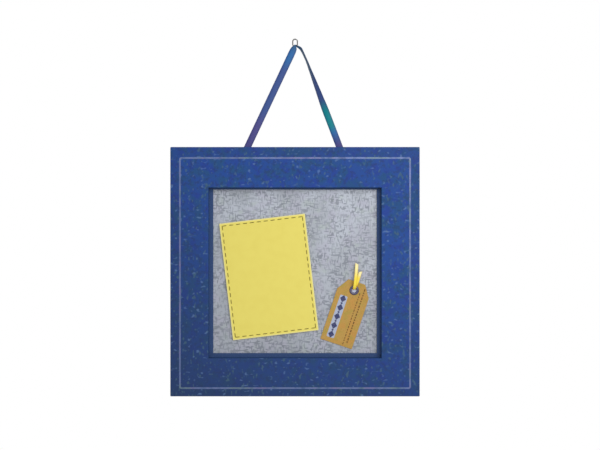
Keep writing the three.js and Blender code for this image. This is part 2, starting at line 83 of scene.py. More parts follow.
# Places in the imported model
COVER_LOW, COVER_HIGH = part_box("cover_paper")
FRAME_HALF = (COVER_HIGH.x - COVER_LOW.x) / 2
CENTRE_HEIGHT = middle("cover_paper").z
TOP_EDGE = COVER_HIGH.z
BACK_LEVEL, FRONT_LEVEL = levels("cover_paper")
SLIP_SHOWS = 4.05 * MM
WINDOW_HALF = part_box("slip_top")[0].z - CENTRE_HEIGHT + SLIP_SHOWS
TOP_LIP = 2.5 * MM
SILVER_LEVEL = levels("silver_paper")[1]
SIDES = {"top": 0, "left": 90, "bottom": 180, "right": -90}
CORNER_NUMBERS = range(1, 5)

# Pieces of the frame are drawn face-on: x across, y up and z towards the viewer, from its centre
FACE_ON = Matrix.Translation((0, 0, CENTRE_HEIGHT)) @ Matrix.Rotation(math.radians(90), 4, "X")


def on_face(at, turn=0.0):
    """Puts a face-on drawing at a point of the frame, turned in the view."""
    return FACE_ON @ Matrix.Translation((at.x, at.z - CENTRE_HEIGHT, 0)) @ Matrix.Rotation(turn, 4, "Z")


# Paper, glue, ink and eased edges
PAPER = 0.4 * MM
GLUE = 0.05 * MM
INK = 0.03 * MM
CARD_EDGE = 0.15 * MM
TAG_EDGE = 0.12 * MM
FOAM_EDGE = 0.2 * MM
PRESSED_EDGE = 0.25 * MM
WIRE_EDGE = 0.15 * MM

# Corners of cut and stamped outlines
FOIL_BEND = 1.6 * MM
MAT_CORNER = 0.5 * MM
PAD_CORNER = 0.8 * MM
TAG_CORNER = 0.8 * MM

# Hanging ring and ribbon, with the route of the ribbon as the model lays it
RING_RADIUS = 2.4 * MM
RING_STRAIGHT = 2.8 * MM
RING_FOOT = -RING_RADIUS - RING_STRAIGHT / 2
RING_WIRE = 1.2 * MM
RING_SPLIT = 0.3 * MM
RING_SPLIT_ANGLE = 50
RIBBON_GATHER = 2.2 * MM
GATHER_THICKNESS = 0.8 * MM
RIBBON_THICKNESS = 0.32 * MM
RING_ROOM = 0.5 * MM
BIGHT_RADIUS = RING_WIRE / 2 + RING_ROOM + GATHER_THICKNESS / 2
BIGHT_ANGLES = [0, 30, 60, 90, 120]
EXIT_LEFT = -49.5 * MM
EXIT_RIGHT = 46.3 * MM
TAIL_FLAT = 6 * MM
TAIL_LENGTH = 24 * MM
STAPLE_BELOW = 14 * MM

# Stations down each leg: share of the leg, bow to the right in millimetres, share of the ring's depth,
# roll, and how far the ribbon has opened
LEFT_LEG = [
    (0.01, 0, 1, 0, 0.55), (0.03, 0, 1, 0, 0.85), (0.06, 0, 0.95, 0, 1), (0.25, 0, 0.6, 0, 1),
    (0.5, 0, 0.35, 0, 1), (0.75, 0, 0.15, 0, 1), (0.93, 0, 0, 0, 1),
]
RIGHT_LEG = [
    (-0.008, 1.7, 0.9, 0, 0), (-0.001, 2.9, 1, 15, 0), (0.009, 4.2, 0.9, 45, 0.1),
    (0.022, 5, 0.7, 65, 0.3), (0.04, 5.25, 0.4, 75, 0.6), (0.065, 5.35, 0.1, 80, 0.9),
    (0.11, 5.4, -0.3, 80, 1), (0.15, 5.35, -0.4, 77, 1), (0.22, 4.9, -0.4, 72, 1),
    (0.29, 4.5, -0.35, 65, 1), (0.36, 4.05, -0.3, 57, 1), (0.44, 3.55, -0.2, 48, 1),
    (0.52, 3, -0.1, 37, 1), (0.62, 2.4, 0, 17, 1), (0.7, 1.9, 0, 5, 1), (0.78, 1.4, 0, 0, 1),
    (0.93, 0.45, 0, 0, 1),
]

# Tie through the eyelet: across, up and towards the viewer in millimetres, from the silver paper
TIE_ROUTE = [
    (2.7, 27.3, 2.6), (2.3, 22, 3.5), (1.8, 16, 4.3), (1.2, 10, 4.8), (0.8, 6, 4.7), (0.4, 3.6, 4),
    (0.2, 2.2, 3.2), (0.05, 1.15, 2.3), (0, 0.65, 1.6), (0, 0.5, 1.1), (0, 0.62, 0.72), (0, 1, 0.55),
    (0, 1.38, 0.72), (0, 1.5, 1.1), (0, 1.55, 1.6), (0.12, 2, 2.3), (0.35, 2.75, 2.8), (0.9, 3.9, 3.1),
    (2.1, 6.4, 3.2), (3.6, 10.2, 3), (5.1, 14.8, 2.5), (6.5, 19, 1.9),
]
TIE_CUP = -0.25 * MM
TIE_SLANT = 0.5

# Dyes of the hanging ribbon by millimetres from its left end, and colours of the tie by share of its
# length: yellow dye, cream painted highlight towards both ends and gold painted shade just past its turn
# in the eyelet
RIBBON_DYES = [
    (0, "violet"), (50, "violet"), (66, "indigo"), (112, "indigo"), (124, "azure"), (132, "azure"),
    (142, "slate"), (170, "slate"), (190, "indigo"), (207, "indigo"), (219, "teal"), (236, "teal"),
    (244, "azure"), (251, "indigo"), (257, "violet"),
]
TIE_DYE_SHADE_AND_HIGHLIGHT = [
    (0, "cream"), (0.08, "cream"), (0.3, "yellow"), (0.5, "yellow"), (0.6, "gold"), (0.68, "gold"),
    (0.76, "yellow"), (0.86, "yellow"), (0.94, "cream"),
]

# Ribs of the satin
RIB_PITCH = 0.4 * MM
RIB_DEPTH = 0.015 * MM

# Stitches and foam pads of the mat
STITCH_RISE = 0.35 * MM
STITCH_WANDER = math.radians(3)
STITCH_SEED = 4
PAD_SIDE = 12 * MM
PAD_INSET = 6 * MM

# Printing on the tag, from the eyelet's centre, with each rule as [across, width, first, last]
STRIP_CENTRE = Vector((-8 * MM, -31 * MM))
STRIP_WIDTH = 8 * MM
STRIP_LENGTH = 45 * MM
STRIP_CORNER = 1.2 * MM
LOZENGE_COUNT = 9
LOZENGE_PITCH = STRIP_LENGTH / (LOZENGE_COUNT + 0.4)
LARGE_LOZENGE = (0.4 * STRIP_WIDTH, 0.085 * STRIP_LENGTH)
SMALL_LOZENGE = (0.16 * STRIP_WIDTH, 0.03 * STRIP_LENGTH)
RULES = [(6.6 * MM, 0.9 * MM, -1 * MM, -54 * MM), (10.2 * MM, 1.3 * MM, 4.5 * MM, -54 * MM)]
LONG_DASH = 2.6 * MM
SHORT_DASH = 1.6 * MM
DASH_GAP = 1 * MM
DASH_CORNER = 0.2 * MM

# Eyelet, round its bore
CARD_HOLE_ROOM = 0.7 * MM
BARREL_WALL = 0.5 * MM
FLANGE_LIFT = 0.2 * MM
CURL_RADIUS = 4.5 * MM
CURL_HEIGHT = 0.9 * MM
CUP_FLOOR = 0.4 * MM

# Turn buttons and their screws: the ends are rounded to just short of a half circle
BUTTON_ROUNDING = 0.999
BUTTON_HOLE = 1.7 * MM
COLLAR_RADIUS = 3.7 * MM
SCREW_WANDER = math.radians(80)
SCREW_SEED = 3

# Floor and key lamp
FLOOR_THICKNESS = 10 * MM
KEY_PLACE = (0.35, -0.8, 0.08)
KEY_SIZE = 0.8

# Facets
ARC_STEPS = 8
BUTTON_STEPS = 12
WIRE_STEPS = 16
ROUND_STEPS = 64
RIBBON_CUTS = 10
SPAN_STEPS = 6
SHARP_ANGLE = math.radians(35)
MERGE_WITHIN = 1e-7

# Detail of the noise in clouds and tooth, and how softly a dash fades out
NOISE_DETAIL = 3.0
DASH_SOFTNESS = 0.12

# Sockets of a colour mix
FACTOR, FIRST, SECOND, RESULT = 0, 6, 7, 2


# Settings

def linear(code):
    """An sRGB hex value as linear red, green, blue and alpha."""
    shares = [int(code[i:i + 2], 16) / 255 for i in (1, 3, 5)]
    channels = [c / 12.92 if c <= 0.04045 else ((c + 0.055) / 1.055) ** 2.4 for c in shares]
    return (*channels, 1.0)


def size_setting(name, description, default):
    """A length in metres."""
    return bpy.props.FloatProperty(
        name=name, description=description, default=default, min=0.0, unit="LENGTH", precision=5)


def angle_setting(name, description, degrees):
    """A turn, anticlockwise from the front."""
    return bpy.props.FloatProperty(
        name=name, description=description, default=math.radians(degrees), subtype="ANGLE")


def colour_setting(name, description, code):
    """A colour, given as an sRGB hex value and kept as linear."""
    return bpy.props.FloatVectorProperty(
        name=name, description=description, default=linear(code), size=4, min=0.0, max=1.0,
        subtype="COLOR")


class CoverSettings(bpy.types.PropertyGroup):
    """Covering paper and its foil line."""

    fold_radius: size_setting("Fold radius", "Rounding where the paper folds over the rails", 1.0 * MM)
    corner_radius: size_setting("Corner radius", "Rounding of the frame's four corners", 0.9 * MM)
    flange_width: size_setting("Flange width", "Paper turned over the back of the rails", 15 * MM)
    foil_side: size_setting("Foil side", "Side of the square that the foil line draws", 234.2 * MM)
    foil_width: size_setting("Foil width", "Width of the foil line", 1.7 * MM)
    foil_drop: size_setting("Foil drop", "How far the foil square sits below centre", 1.35 * MM)
    paper: colour_setting("Paper", "Ground colour of the paper", "#26498f")
    paper_slate: colour_setting("Slate clouds", "Greener clouds in the ground colour", "#284f78")
    paper_indigo: colour_setting("Indigo clouds", "Violet clouds in the ground colour", "#273f90")
    # Deep paper is laid darker towards the lower left, in a band beyond the foil line and in small
    # mottles.
    paper_deep: colour_setting("Deep paper", "Where the dye deepens, low on the left", "#2a3a5c")
    pale_fleck: colour_setting("Pale fleck", "Pale blue flecks", "#6a89b6")
    olive_fleck: colour_setting("Olive fleck", "Olive flecks", "#4e6c74")
    # Wall shade: dark navy put on the window's inner wall as painted shade of the recess.
    wall_shade: colour_setting("Edge paint", "Paint on the window's edge", "#22406e")
    foil: colour_setting("Foil", "Stamped foil", "#596791")
    foil_lilac: colour_setting("Lilac foil", "Stretches where the foil looks lilac", "#62608a")
    foil_green: colour_setting("Green foil", "Stretches where the foil looks green", "#566b76")


class PanelSettings(bpy.types.PropertyGroup):
    """Boards that show in the window."""

    navy: colour_setting("Navy slip", "Card strips round the window", "#2f4773")
    # Deep silver also serves as painted shade, laid darker towards the bottom of the window.
    silver_deep_and_shade: colour_setting("Deep silver", "Broad darker clouds in the silver paper", "#8c9199")
    silver: colour_setting("Silver", "Ground of the silver paper", "#aab0bb")
    lavender: colour_setting("Lavender", "Lavender clouds in the silver paper", "#a7a6b7")
    green_grey: colour_setting("Green grey", "Greenish clouds in the silver paper", "#9ea9a6")
    stroke: colour_setting("Stroke", "Grey strokes on the silver paper", "#656a75")


class MatSettings(bpy.types.PropertyGroup):
    """Photo mat and its stitched border."""

    width: size_setting("Width", "Width of the mat", 88.4 * MM)
    height: size_setting("Height", "Height of the mat", 120.3 * MM)
    turn: angle_setting("Turn", "Slant of the mat", 6.8)
    stitch_inset: size_setting("Stitch inset", "Stitched line inside the edge", 2.8 * MM)
    stitch_length: size_setting("Stitch length", "Thread showing in one stitch", 4.3 * MM)
    stitch_pitch: size_setting("Stitch pitch", "One stitch to the next", 6.9 * MM)
    thread_width: size_setting("Thread width", "Thickness of the thread", 0.7 * MM)
    card: colour_setting("Card", "Yellow card", "#e5d76a")
    # Edge highlight: a paler band painted just inside the card's edges as a highlight.
    edge_highlight: colour_setting("Card edge", "Paler, handled edge of the card", "#efe6a2")
    thread: colour_setting("Thread", "Brown thread", "#6a5a22")


class TagSettings(bpy.types.PropertyGroup):
    """Hang tag, its printing and its eyelet."""

    width: size_setting("Width", "Width of the tag", 34 * MM)
    below: size_setting("Below", "Eyelet centre to the bottom edge", 58.2 * MM)
    above: size_setting("Above", "Eyelet centre to the top edge", 8.9 * MM)
    clip_width: size_setting("Clip width", "Width of the clipped corners", 8 * MM)
    clip_height: size_setting("Clip height", "Height of the clipped corners", 12.5 * MM)
    turn: angle_setting("Turn", "Slant of the tag", -18.7)
    bore: size_setting("Bore", "Hole through the eyelet", 5 * MM)
    flange: size_setting("Flange", "Rolled flange of the eyelet, across", 9.8 * MM)
    kraft: colour_setting("Kraft", "Kraft card", "#b8934d")
    kraft_warm: colour_setting("Warm kraft", "Orange clouds in the card", "#bf8e48")
    kraft_olive: colour_setting("Olive kraft", "Olive clouds in the card", "#a89446")
    wash: colour_setting("Wash", "Pale printed strip", "#a9b3ca")
    navy_ink: colour_setting("Navy ink", "Printed lozenges", "#303a68")
    brown_ink: colour_setting("Brown ink", "Printed rules", "#6b4e22")
    enamel: colour_setting("Enamel", "Enamel of the eyelet", "#352f55")


class RibbonSettings(bpy.types.PropertyGroup):
    """Hanging ribbon and the tie."""

    width: size_setting("Width", "Width of the hanging ribbon", 7 * MM)
    cup: size_setting("Cup", "How far the ribbon bows across its width", 0.5 * MM)
    tie_width: size_setting("Tie width", "Width of the tie", 3.2 * MM)
    violet: colour_setting("Violet", "Dye at both ends", "#4b4884")
    indigo: colour_setting("Indigo", "Dye along both legs", "#39508b")
    azure: colour_setting("Azure", "Dye near the ring and below the teal", "#2a64a0")
    slate: colour_setting("Slate", "Dye high on the right leg", "#335878")
    teal: colour_setting("Teal", "Dye low on the right leg", "#007c86")
    yellow: colour_setting("Yellow", "Tie", "#f6df4c")
    # Cream is painted highlight towards the tie's ends.
    cream: colour_setting("Cream", "Paler cut ends of the tie", "#fbf2b0")
    gold: colour_setting("Gold", "Shaded turn and edges of the tie", "#dba733")


class StageSettings(bpy.types.PropertyGroup):
    """Camera, light and floor."""

    distance: size_setting("Camera distance", "Camera to the front of the frame", 1.1)
    view_width: size_setting("View width", "Width of the picture at the front of the frame", 610.6 * MM)
    view_right: size_setting(
        "View right", "Middle of the picture, right of the frame's centre", 5.1 * MM)
    view_up: size_setting("View up", "Middle of the picture, above the frame's centre", 47.55 * MM)
    floor_drop: size_setting("Floor drop", "Floor below the frame", 0.26)
    floor_radius: size_setting("Floor radius", "Radius of the round floor", 0.8)
    floor: colour_setting("Floor", "Painted floor", "#e6e6e3")
    ambient: bpy.props.FloatProperty(
        name="Ambient", description="Strength of the light from all round", default=0.45, min=0.0)
    key_power: bpy.props.FloatProperty(
        name="Key power", description="Soft key light from the upper right", default=6.2, min=0.0,
        unit="POWER")


# Meshes

def rounded(corners, radius, steps=ARC_STEPS):
    """A closed outline with arcs for corners; radius is one number, or one for each corner."""
    radii = radius if isinstance(radius, (list, tuple)) else [radius] * len(corners)
    points = [Vector(corner) for corner in corners]
    outline = []
    for i, corner in enumerate(points):
        if not radii[i]:
            outline.append(corner)
            continue
        before = (points[i - 1] - corner).normalized()
        after = (points[(i + 1) % len(points)] - corner).normalized()
        half = before.angle(after) / 2
        centre = corner + (before + after).normalized() * radii[i] / math.sin(half)
        reach = radii[i] / math.tan(half)
        first = (corner + before * reach - centre).normalized()
        last = (corner + after * reach - centre).normalized()
        outline += [centre + first.slerp(last, step / steps) * radii[i] for step in range(steps + 1)]
    return outline


def rectangle(width, height, radius):
    """A rectangle with rounded corners, anticlockwise."""
    x, y = width / 2, height / 2
    return rounded([(-x, -y), (x, -y), (x, y), (-x, y)], radius)


def circle(radius, steps=ROUND_STEPS):
    """A round outline, anticlockwise."""
    turns = [2 * math.pi * step / steps for step in range(steps)]
    return [Vector((radius * math.cos(a), radius * math.sin(a))) for a in turns]


def half_round(centre, radius, height, first, last):
    """Points of an elliptical arc in a section, from one angle to another in degrees."""
    steps = 2 * ARC_STEPS
    angles = [math.radians(first + (last - first) * i / steps) for i in range(steps + 1)]
    return [(centre[0] + radius * math.cos(a), centre[1] + height * math.sin(a)) for a in angles]


def eased(loop, distance):
    """An outline moved to its left by a small distance, which on an anticlockwise one is inwards."""
    moved = []
    for i, point in enumerate(loop):
        before = (point - loop[i - 1]).normalized()
        after = (loop[(i + 1) % len(loop)] - point).normalized()
        side = Vector((-before.y - after.y, before.x + after.x)).normalized()
        moved.append(point + side * distance)
    return moved


def bridge(shape, here, there):
    """Quads between two closed rings of vertices."""
    for i in range(len(here)):
        shape.faces.new((here[i - 1], here[i], there[i], there[i - 1]))


def skinned(places, closed=True):
    """A shape that joins rings of points in turn, back to the first or capped at both ends."""
    shape = bmesh.new()
    rings = [[shape.verts.new(point) for point in ring] for ring in places]
    for here, there in zip(rings, rings[1:]):
        bridge(shape, here, there)
    if closed:
        bridge(shape, rings[-1], rings[0])
    else:
        for end in (rings[0], rings[-1]):
            shape.faces.new(end)
    bmesh.ops.remove_doubles(shape, verts=shape.verts, dist=MERGE_WITHIN)
    bmesh.ops.recalc_face_normals(shape, faces=shape.faces)
    return shape


def turned(profile, steps=ROUND_STEPS):
    """A body turned about z from a closed section of [radius, level], or one that ends on the axis."""
    turns = [2 * math.pi * step / steps for step in range(steps)]
    return skinned([[(r * math.cos(a), r * math.sin(a), z) for r, z in profile] for a in turns])


def wrapped(profile, corner_radius):
    """A closed section of [distance from the centre, level] carried round the square frame.

    Along the top, the window's edge reaches further down by the top lip.
    """
    arc_centre = FRAME_HALF - corner_radius
    rail_middle = (WINDOW_HALF + FRAME_HALF) / 2
    rings = []
    for quarter, (side, up) in enumerate([(1, 1), (-1, 1), (-1, -1), (1, -1)]):
        for step in range(ARC_STEPS + 1):
            angle = math.radians(90 * (quarter + step / ARC_STEPS))
            ring = []
            for out, level in profile:
                straight = min(out, arc_centre)
                reach = max(out - arc_centre, 0)
                x = side * straight + reach * math.cos(angle)
                y = up * straight + reach * math.sin(angle)
                if up > 0 and out < rail_middle:
                    y -= TOP_LIP
                ring.append((x, y, level))
            rings.append(ring)
    return skinned(rings)


def plate(outline, back, front, edge=0.0, holes=()):
    """A closed plate between two levels, with its edges eased, from an outline and clockwise holes."""
    shape = bmesh.new()
    caps = ([], [])
    for loop in (outline, *holes):
        inner = eased(loop, edge) if edge else loop
        layers = [(inner, back), (inner, front)]
        if edge:
            layers[1:1] = [(loop, back + edge), (loop, front - edge)]
        rings = [[shape.verts.new((*point, level)) for point in points] for points, level in layers]
        for here, there in zip(rings, rings[1:]):
            bridge(shape, here, there)
        for cap, ring in zip(caps, (rings[0], rings[-1])):
            cap += [shape.edges.get((ring[i - 1], ring[i])) for i in range(len(ring))]
    for cap in caps:
        bmesh.ops.triangle_fill(shape, use_beauty=True, edges=cap)
    bmesh.ops.recalc_face_normals(shape, faces=shape.faces)
    return shape


def joined(shapes):
    """Several shapes as one."""
    whole = bmesh.new()
    for shape in shapes:
        part = to_mesh("part", shape)
        whole.from_mesh(part)
        bpy.data.meshes.remove(part)
    return whole


def through_points(rows, steps=SPAN_STEPS):
    """Rows of numbers along a smooth curve; the first three numbers of each row are its place."""
    knots = [0.0]
    for here, there in zip(rows, rows[1:]):
        knots.append(knots[-1] + (Vector(there[:3]) - Vector(here[:3])).length)
    last = len(rows) - 1
    slopes = []
    for i in range(len(rows)):
        low, high = max(i - 1, 0), min(i + 1, last)
        span = knots[high] - knots[low]
        slopes.append([(b - a) / span for a, b in zip(rows[low], rows[high])])
    curve = []
    for i in range(last):
        span = knots[i + 1] - knots[i]
        for step in range(steps):
            t = step / steps
            weights = (2 * t**3 - 3 * t**2 + 1, t**3 - 2 * t**2 + t, 3 * t**2 - 2 * t**3, t**3 - t**2)
            curve.append([
                weights[0] * a + weights[1] * span * m + weights[2] * b + weights[3] * span * n
                for a, m, b, n in zip(rows[i], slopes[i], rows[i + 1], slopes[i + 1])
            ])
    curve.append(list(rows[last]))
    return curve


@dataclass
class Station:
    """One section of a ribbon."""

    at: Vector
    across: Vector
    through: Vector
    run: Vector
    width: float
    thickness: float
    cup: float
    along: float


def ribbon_stations(places, rolls, widths, thicknesses, cups):
    """Sections along a ribbon that lies across the view, each rolled about its run in degrees."""
    stations = []
    along = 0.0
    flat = Vector((1, 0, 0))
    for i, at in enumerate(places):
        run = (places[min(i + 1, len(places) - 1)] - places[max(i - 1, 0)]).normalized()
        across = (flat - run * flat.dot(run)).normalized()
        across.rotate(Matrix.Rotation(math.radians(rolls[i]), 3, run))
        if i:
            along += (at - places[i - 1]).length
        stations.append(Station(
            at, across, run.cross(across).normalized(), run, widths[i], thicknesses[i], cups[i], along))
    return stations


def ribbon_mesh(name, stations, slant, finish):
    """A thin closed strip, bowed across, with attributes for how far along and across it a point lies.

    Both ends are cut at a slant, given as a share of the width.
    """
    shares = [2 * i / RIBBON_CUTS - 1 for i in range(RIBBON_CUTS + 1)]
    section = [(side, 1) for side in shares] + [(side, -1) for side in reversed(shares)]
    count = len(section)
    last = len(stations) - 1
    points, along, across = [], [], []
    for i, station in enumerate(stations):
        half = station.width / 2
        lean = slant * half if i in (0, last) else 0.0
        for side, face in section:
            rise = station.cup * (1 - side * side) + face * station.thickness / 2
            points.append(
                station.at + station.across * side * half + station.through * rise
                + station.run * lean * side)
            along.append(station.along)
            across.append((side + 1) / 2)
    faces = []
    for start in range(0, last * count, count):
        for i in range(count):
            after = (i + 1) % count
            faces.append((start + i, start + after, start + count + after, start + count + i))
    for start in (0, last * count):
        for i in range(RIBBON_CUTS):
            faces.append((start + i, start + i + 1, start + count - 2 - i, start + count - 1 - i))
    mesh = bpy.data.meshes.new(name)
    mesh.from_pydata(points, [], faces)
    for attribute, values in (("along", along), ("across", across)):
        mesh.attributes.new(attribute, "FLOAT", "POINT").data.foreach_set("value", values)
    shape = bmesh.new()
    shape.from_mesh(mesh)
    bmesh.ops.recalc_face_normals(shape, faces=shape.faces)
    shape.to_mesh(mesh)
    shape.free()
    mesh.materials.append(finish)
    return mesh


def to_mesh(name, shape, place=None, finishes=()):
    """Turns a shape into a mesh, put in its place and given its finishes."""
    if place is not None:
        shape.transform(place)
    mesh = bpy.data.meshes.new(name)
    shape.to_mesh(mesh)
    shape.free()
    for finish in finishes:
        mesh.materials.append(finish)
    return mesh


def add_object(name, mesh):
    """Links a mesh to the scene as an object, smooth but for its sharp edges."""
    mesh.shade_smooth()
    mesh.set_sharp_from_angle(angle=SHARP_ANGLE)
    piece = bpy.data.objects.new(name, mesh)
    bpy.context.scene.collection.objects.link(piece)
    return piece


def add_piece(name, mesh, body, slot, *nodes):
    """A finished piece that rides on a body and stands for its CAD nodes; its slot is not used."""
    piece = add_object(name, mesh)
    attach(piece, body)
    if nodes:
        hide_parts(*nodes)
    return piece


def make_piece(name, shape, place, finishes, body, slot, *nodes):
    """A finished piece, as above, from a shape that is still to be placed."""
    return add_piece(name, to_mesh(name, shape, place, finishes), body, slot, *nodes)


def dress(finish, *nodes):
    """Gives CAD nodes a finish."""
    for node in nodes:
        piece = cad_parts[node]
        piece.data.materials.clear()
        piece.data.materials.append(finish)


# Node trees

def add_node(tree, kind, inputs=None, stops=None, **settings):
    """Adds a node with its settings, and fills its inputs with values or with other nodes' outputs."""
    node = tree.nodes.new(kind)
    for name, value in settings.items():
        setattr(node, name, value)
    for socket, value in (inputs or {}).items():
        if isinstance(value, bpy.types.NodeSocket):
            tree.links.new(value, node.inputs[socket])
        else:
            node.inputs[socket].default_value = value
    if stops:
        ramp = node.color_ramp
        while len(ramp.elements) < len(stops):
            ramp.elements.new(1.0)
        for element, (position, colour) in zip(ramp.elements, stops):
            element.position = position
            element.color = colour
    return node


def grown(name, points, tree, inputs, place):
    """Runs a geometry tree over points of [place, turn], and puts the result in its place as a mesh."""
    base = bpy.data.meshes.new(name)
    base.from_pydata([at for at, _ in points], [], [])
    turns = base.attributes.new("turn", "FLOAT", "POINT")
    turns.data.foreach_set("value", [turn for _, turn in points])
    seed = bpy.data.objects.new(name, base)
    bpy.context.scene.collection.objects.link(seed)
    modifier = seed.modifiers.new(name, "NODES")
    modifier.node_group = tree
    for item in tree.interface.items_tree:
        if item.in_out == "INPUT" and item.name in inputs:
            modifier[item.identifier] = inputs[item.name]
    graph = bpy.context.evaluated_depsgraph_get()
    mesh = bpy.data.meshes.new_from_object(seed.evaluated_get(graph))
    bpy.data.objects.remove(seed)
    mesh.transform(place)
    return mesh


def start_tree(name, sockets):
    """A geometry tree with points coming in, a mesh going out, and named inputs for its sizes."""
    tree = bpy.data.node_groups.new(name, "GeometryNodeTree")
    tree.interface.new_socket("Points", in_out="INPUT", socket_type="NodeSocketGeometry")
    for socket, kind in sockets.items():
        tree.interface.new_socket(socket, in_out="INPUT", socket_type=kind)
    tree.interface.new_socket("Mesh", in_out="OUTPUT", socket_type="NodeSocketGeometry")
    return tree, add_node(tree, "NodeGroupInput").outputs


def place_copies(tree, given, shape):
    """Ends a tree: copies of a shape on the points, turned as they say with a little wander."""
    turn = add_node(tree, "GeometryNodeInputNamedAttribute", {"Name": "turn"}, data_type="FLOAT")
    away = add_node(tree, "ShaderNodeMath", {0: 0.0, 1: given["Wander"]}, operation="SUBTRACT")
    wander = add_node(
        tree, "FunctionNodeRandomValue",
        {2: away.outputs[0], 3: given["Wander"], "Seed": given["Seed"]}, data_type="FLOAT")
    angle = add_node(
        tree, "ShaderNodeMath", {0: turn.outputs[0], 1: wander.outputs[1]}, operation="ADD")
    euler = add_node(tree, "ShaderNodeCombineXYZ", {"Z": angle.outputs[0]})
    rotation = add_node(tree, "FunctionNodeEulerToRotation", {"Euler": euler.outputs[0]})
    copies = add_node(
        tree, "GeometryNodeInstanceOnPoints",
        {"Points": given["Points"], "Instance": shape, "Rotation": rotation.outputs[0]})
    real = add_node(tree, "GeometryNodeRealizeInstances", {"Geometry": copies.outputs[0]})
    painted = add_node(
        tree, "GeometryNodeSetMaterial", {"Geometry": real.outputs[0], "Material": given["Finish"]})
    add_node(tree, "NodeGroupOutput", {"Mesh": painted.outputs[0]})
    return tree


COPY_SOCKETS = {"Wander": "NodeSocketFloat", "Seed": "NodeSocketInt", "Finish": "NodeSocketMaterial"}


def stitch_tree():
    """Stitches that come out of the card, bow over it and go back in."""
    sizes = {name: "NodeSocketFloat" for name in ("Stitch Length", "Thread Width", "Rise")}
    tree, given = start_tree("stitches", {**sizes, **COPY_SOCKETS})
    shares = (("Stitch Length", -0.5), ("Stitch Length", 0.5), ("Rise", -0.6), ("Thread Width", 0.5))
    left, right, dip, radius = (
        add_node(tree, "ShaderNodeMath", {0: given[size], 1: share}, operation="MULTIPLY").outputs[0]
        for size, share in shares)
    start = add_node(tree, "ShaderNodeCombineXYZ", {"X": left, "Z": dip})
    crown = add_node(tree, "ShaderNodeCombineXYZ", {"Z": given["Rise"]})
    end = add_node(tree, "ShaderNodeCombineXYZ", {"X": right, "Z": dip})
    line = add_node(
        tree, "GeometryNodeCurveQuadraticBezier",
        {"Resolution": 6, "Start": start.outputs[0], "Middle": crown.outputs[0], "End": end.outputs[0]})
    ring = add_node(tree, "GeometryNodeCurvePrimitiveCircle", {"Resolution": 8, "Radius": radius})
    thread = add_node(
        tree, "GeometryNodeCurveToMesh",
        {"Curve": line.outputs[0], "Profile Curve": ring.outputs[0], "Fill Caps": True})
    return place_copies(tree, given, thread.outputs[0])


def fixing_tree():
    """Copies of one made fixing, such as a screw or a staple."""
    tree, given = start_tree("fixings", {"Shape": "NodeSocketObject", **COPY_SOCKETS})
    shape = add_node(tree, "GeometryNodeObjectInfo", {"Object": given["Shape"]})
    return place_copies(tree, given, shape.outputs["Geometry"])


# Patterns

def start_finish(name, sockets):
    """A material with one shader, its sockets set by name."""
    finish = bpy.data.materials.new(name)
    finish.use_nodes = True
    tree = finish.node_tree
    shader = tree.nodes["Principled BSDF"]
    for socket, value in sockets.items():
        shader.inputs[socket].default_value = value
    return finish, tree, shader


def patches(tree, place, size, low, high, detail=NOISE_DETAIL):
    """Soft clouds of a real size, 0 where the noise is under the low limit and 1 over the high one."""
    cloud = add_node(tree, "ShaderNodeTexNoise", {"Vector": place, "Scale": 1 / size, "Detail": detail})
    share = add_node(
        tree, "ShaderNodeMapRange", {"Value": cloud.outputs[0], "From Min": low, "From Max": high})
    return share.outputs["Result"]


def dashes(tree, place, length, width, low, shift, upright):
    """Short soft dashes of a real length and width, lying level or standing upright."""
    scale = (1 / width, 1 / width, 1 / length) if upright else (1 / length, 1 / width, 1 / width)
    drawn = add_node(
        tree, "ShaderNodeMapping", {"Vector": place, "Location": (shift, shift, shift), "Scale": scale})
    return patches(tree, drawn.outputs[0], 1.0, low, low + DASH_SOFTNESS, detail=0.0)


def margin(tree, place, centre, turn, halves, start, end):
    """Share that grows from 0 to 1 between two distances outside a rectangle turned in the view."""
    own = add_node(
        tree, "ShaderNodeMapping", {"Vector": place, "Location": centre, "Rotation": (0, -turn, 0)},
        vector_type="TEXTURE")
    parts = add_node(tree, "ShaderNodeSeparateXYZ", {"Vector": own.outputs[0]})
    shares = []
    for axis, half in zip("XZ", halves):
        away = add_node(tree, "ShaderNodeMath", {0: parts.outputs[axis]}, operation="ABSOLUTE")
        past = add_node(
            tree, "ShaderNodeMapRange",
            {"Value": away.outputs[0], "From Min": half + start, "From Max": half + end})
        shares.append(past.outputs["Result"])
    further = add_node(tree, "ShaderNodeMath", {0: shares[0], 1: shares[1]}, operation="MAXIMUM")
    return further.outputs[0]


def paint(tree, shader, ground, *layers):
    """Lays colours over a ground, each with its share, the most of it that shows, and its colour."""
    colour = ground
    for share, most, over in layers:
        weaker = add_node(tree, "ShaderNodeMath", {0: share, 1: most}, operation="MULTIPLY")
        mix = add_node(
            tree, "ShaderNodeMix", {FACTOR: weaker.outputs[0], FIRST: colour, SECOND: over},
            data_type="RGBA")
        colour = mix.outputs[RESULT]
    tree.links.new(colour, shader.inputs["Base Color"])


def add_roughness(tree, shader, share, low, high):
    """Roughness that goes from low to high with a share."""
    rough = add_node(tree, "ShaderNodeMapRange", {"Value": share, "To Min": low, "To Max": high})
    tree.links.new(rough.outputs["Result"], shader.inputs["Roughness"])


def add_tooth(tree, shader, place, size, depth):
    """Fine felted tooth of a real size and depth, pressed into the surface."""
    tooth = add_node(
        tree, "ShaderNodeTexNoise", {"Vector": place, "Scale": 1 / size, "Detail": NOISE_DETAIL})
    bump = add_node(tree, "ShaderNodeBump", {"Height": tooth.outputs[0], "Distance": depth})
    tree.links.new(bump.outputs["Normal"], shader.inputs["Normal"])


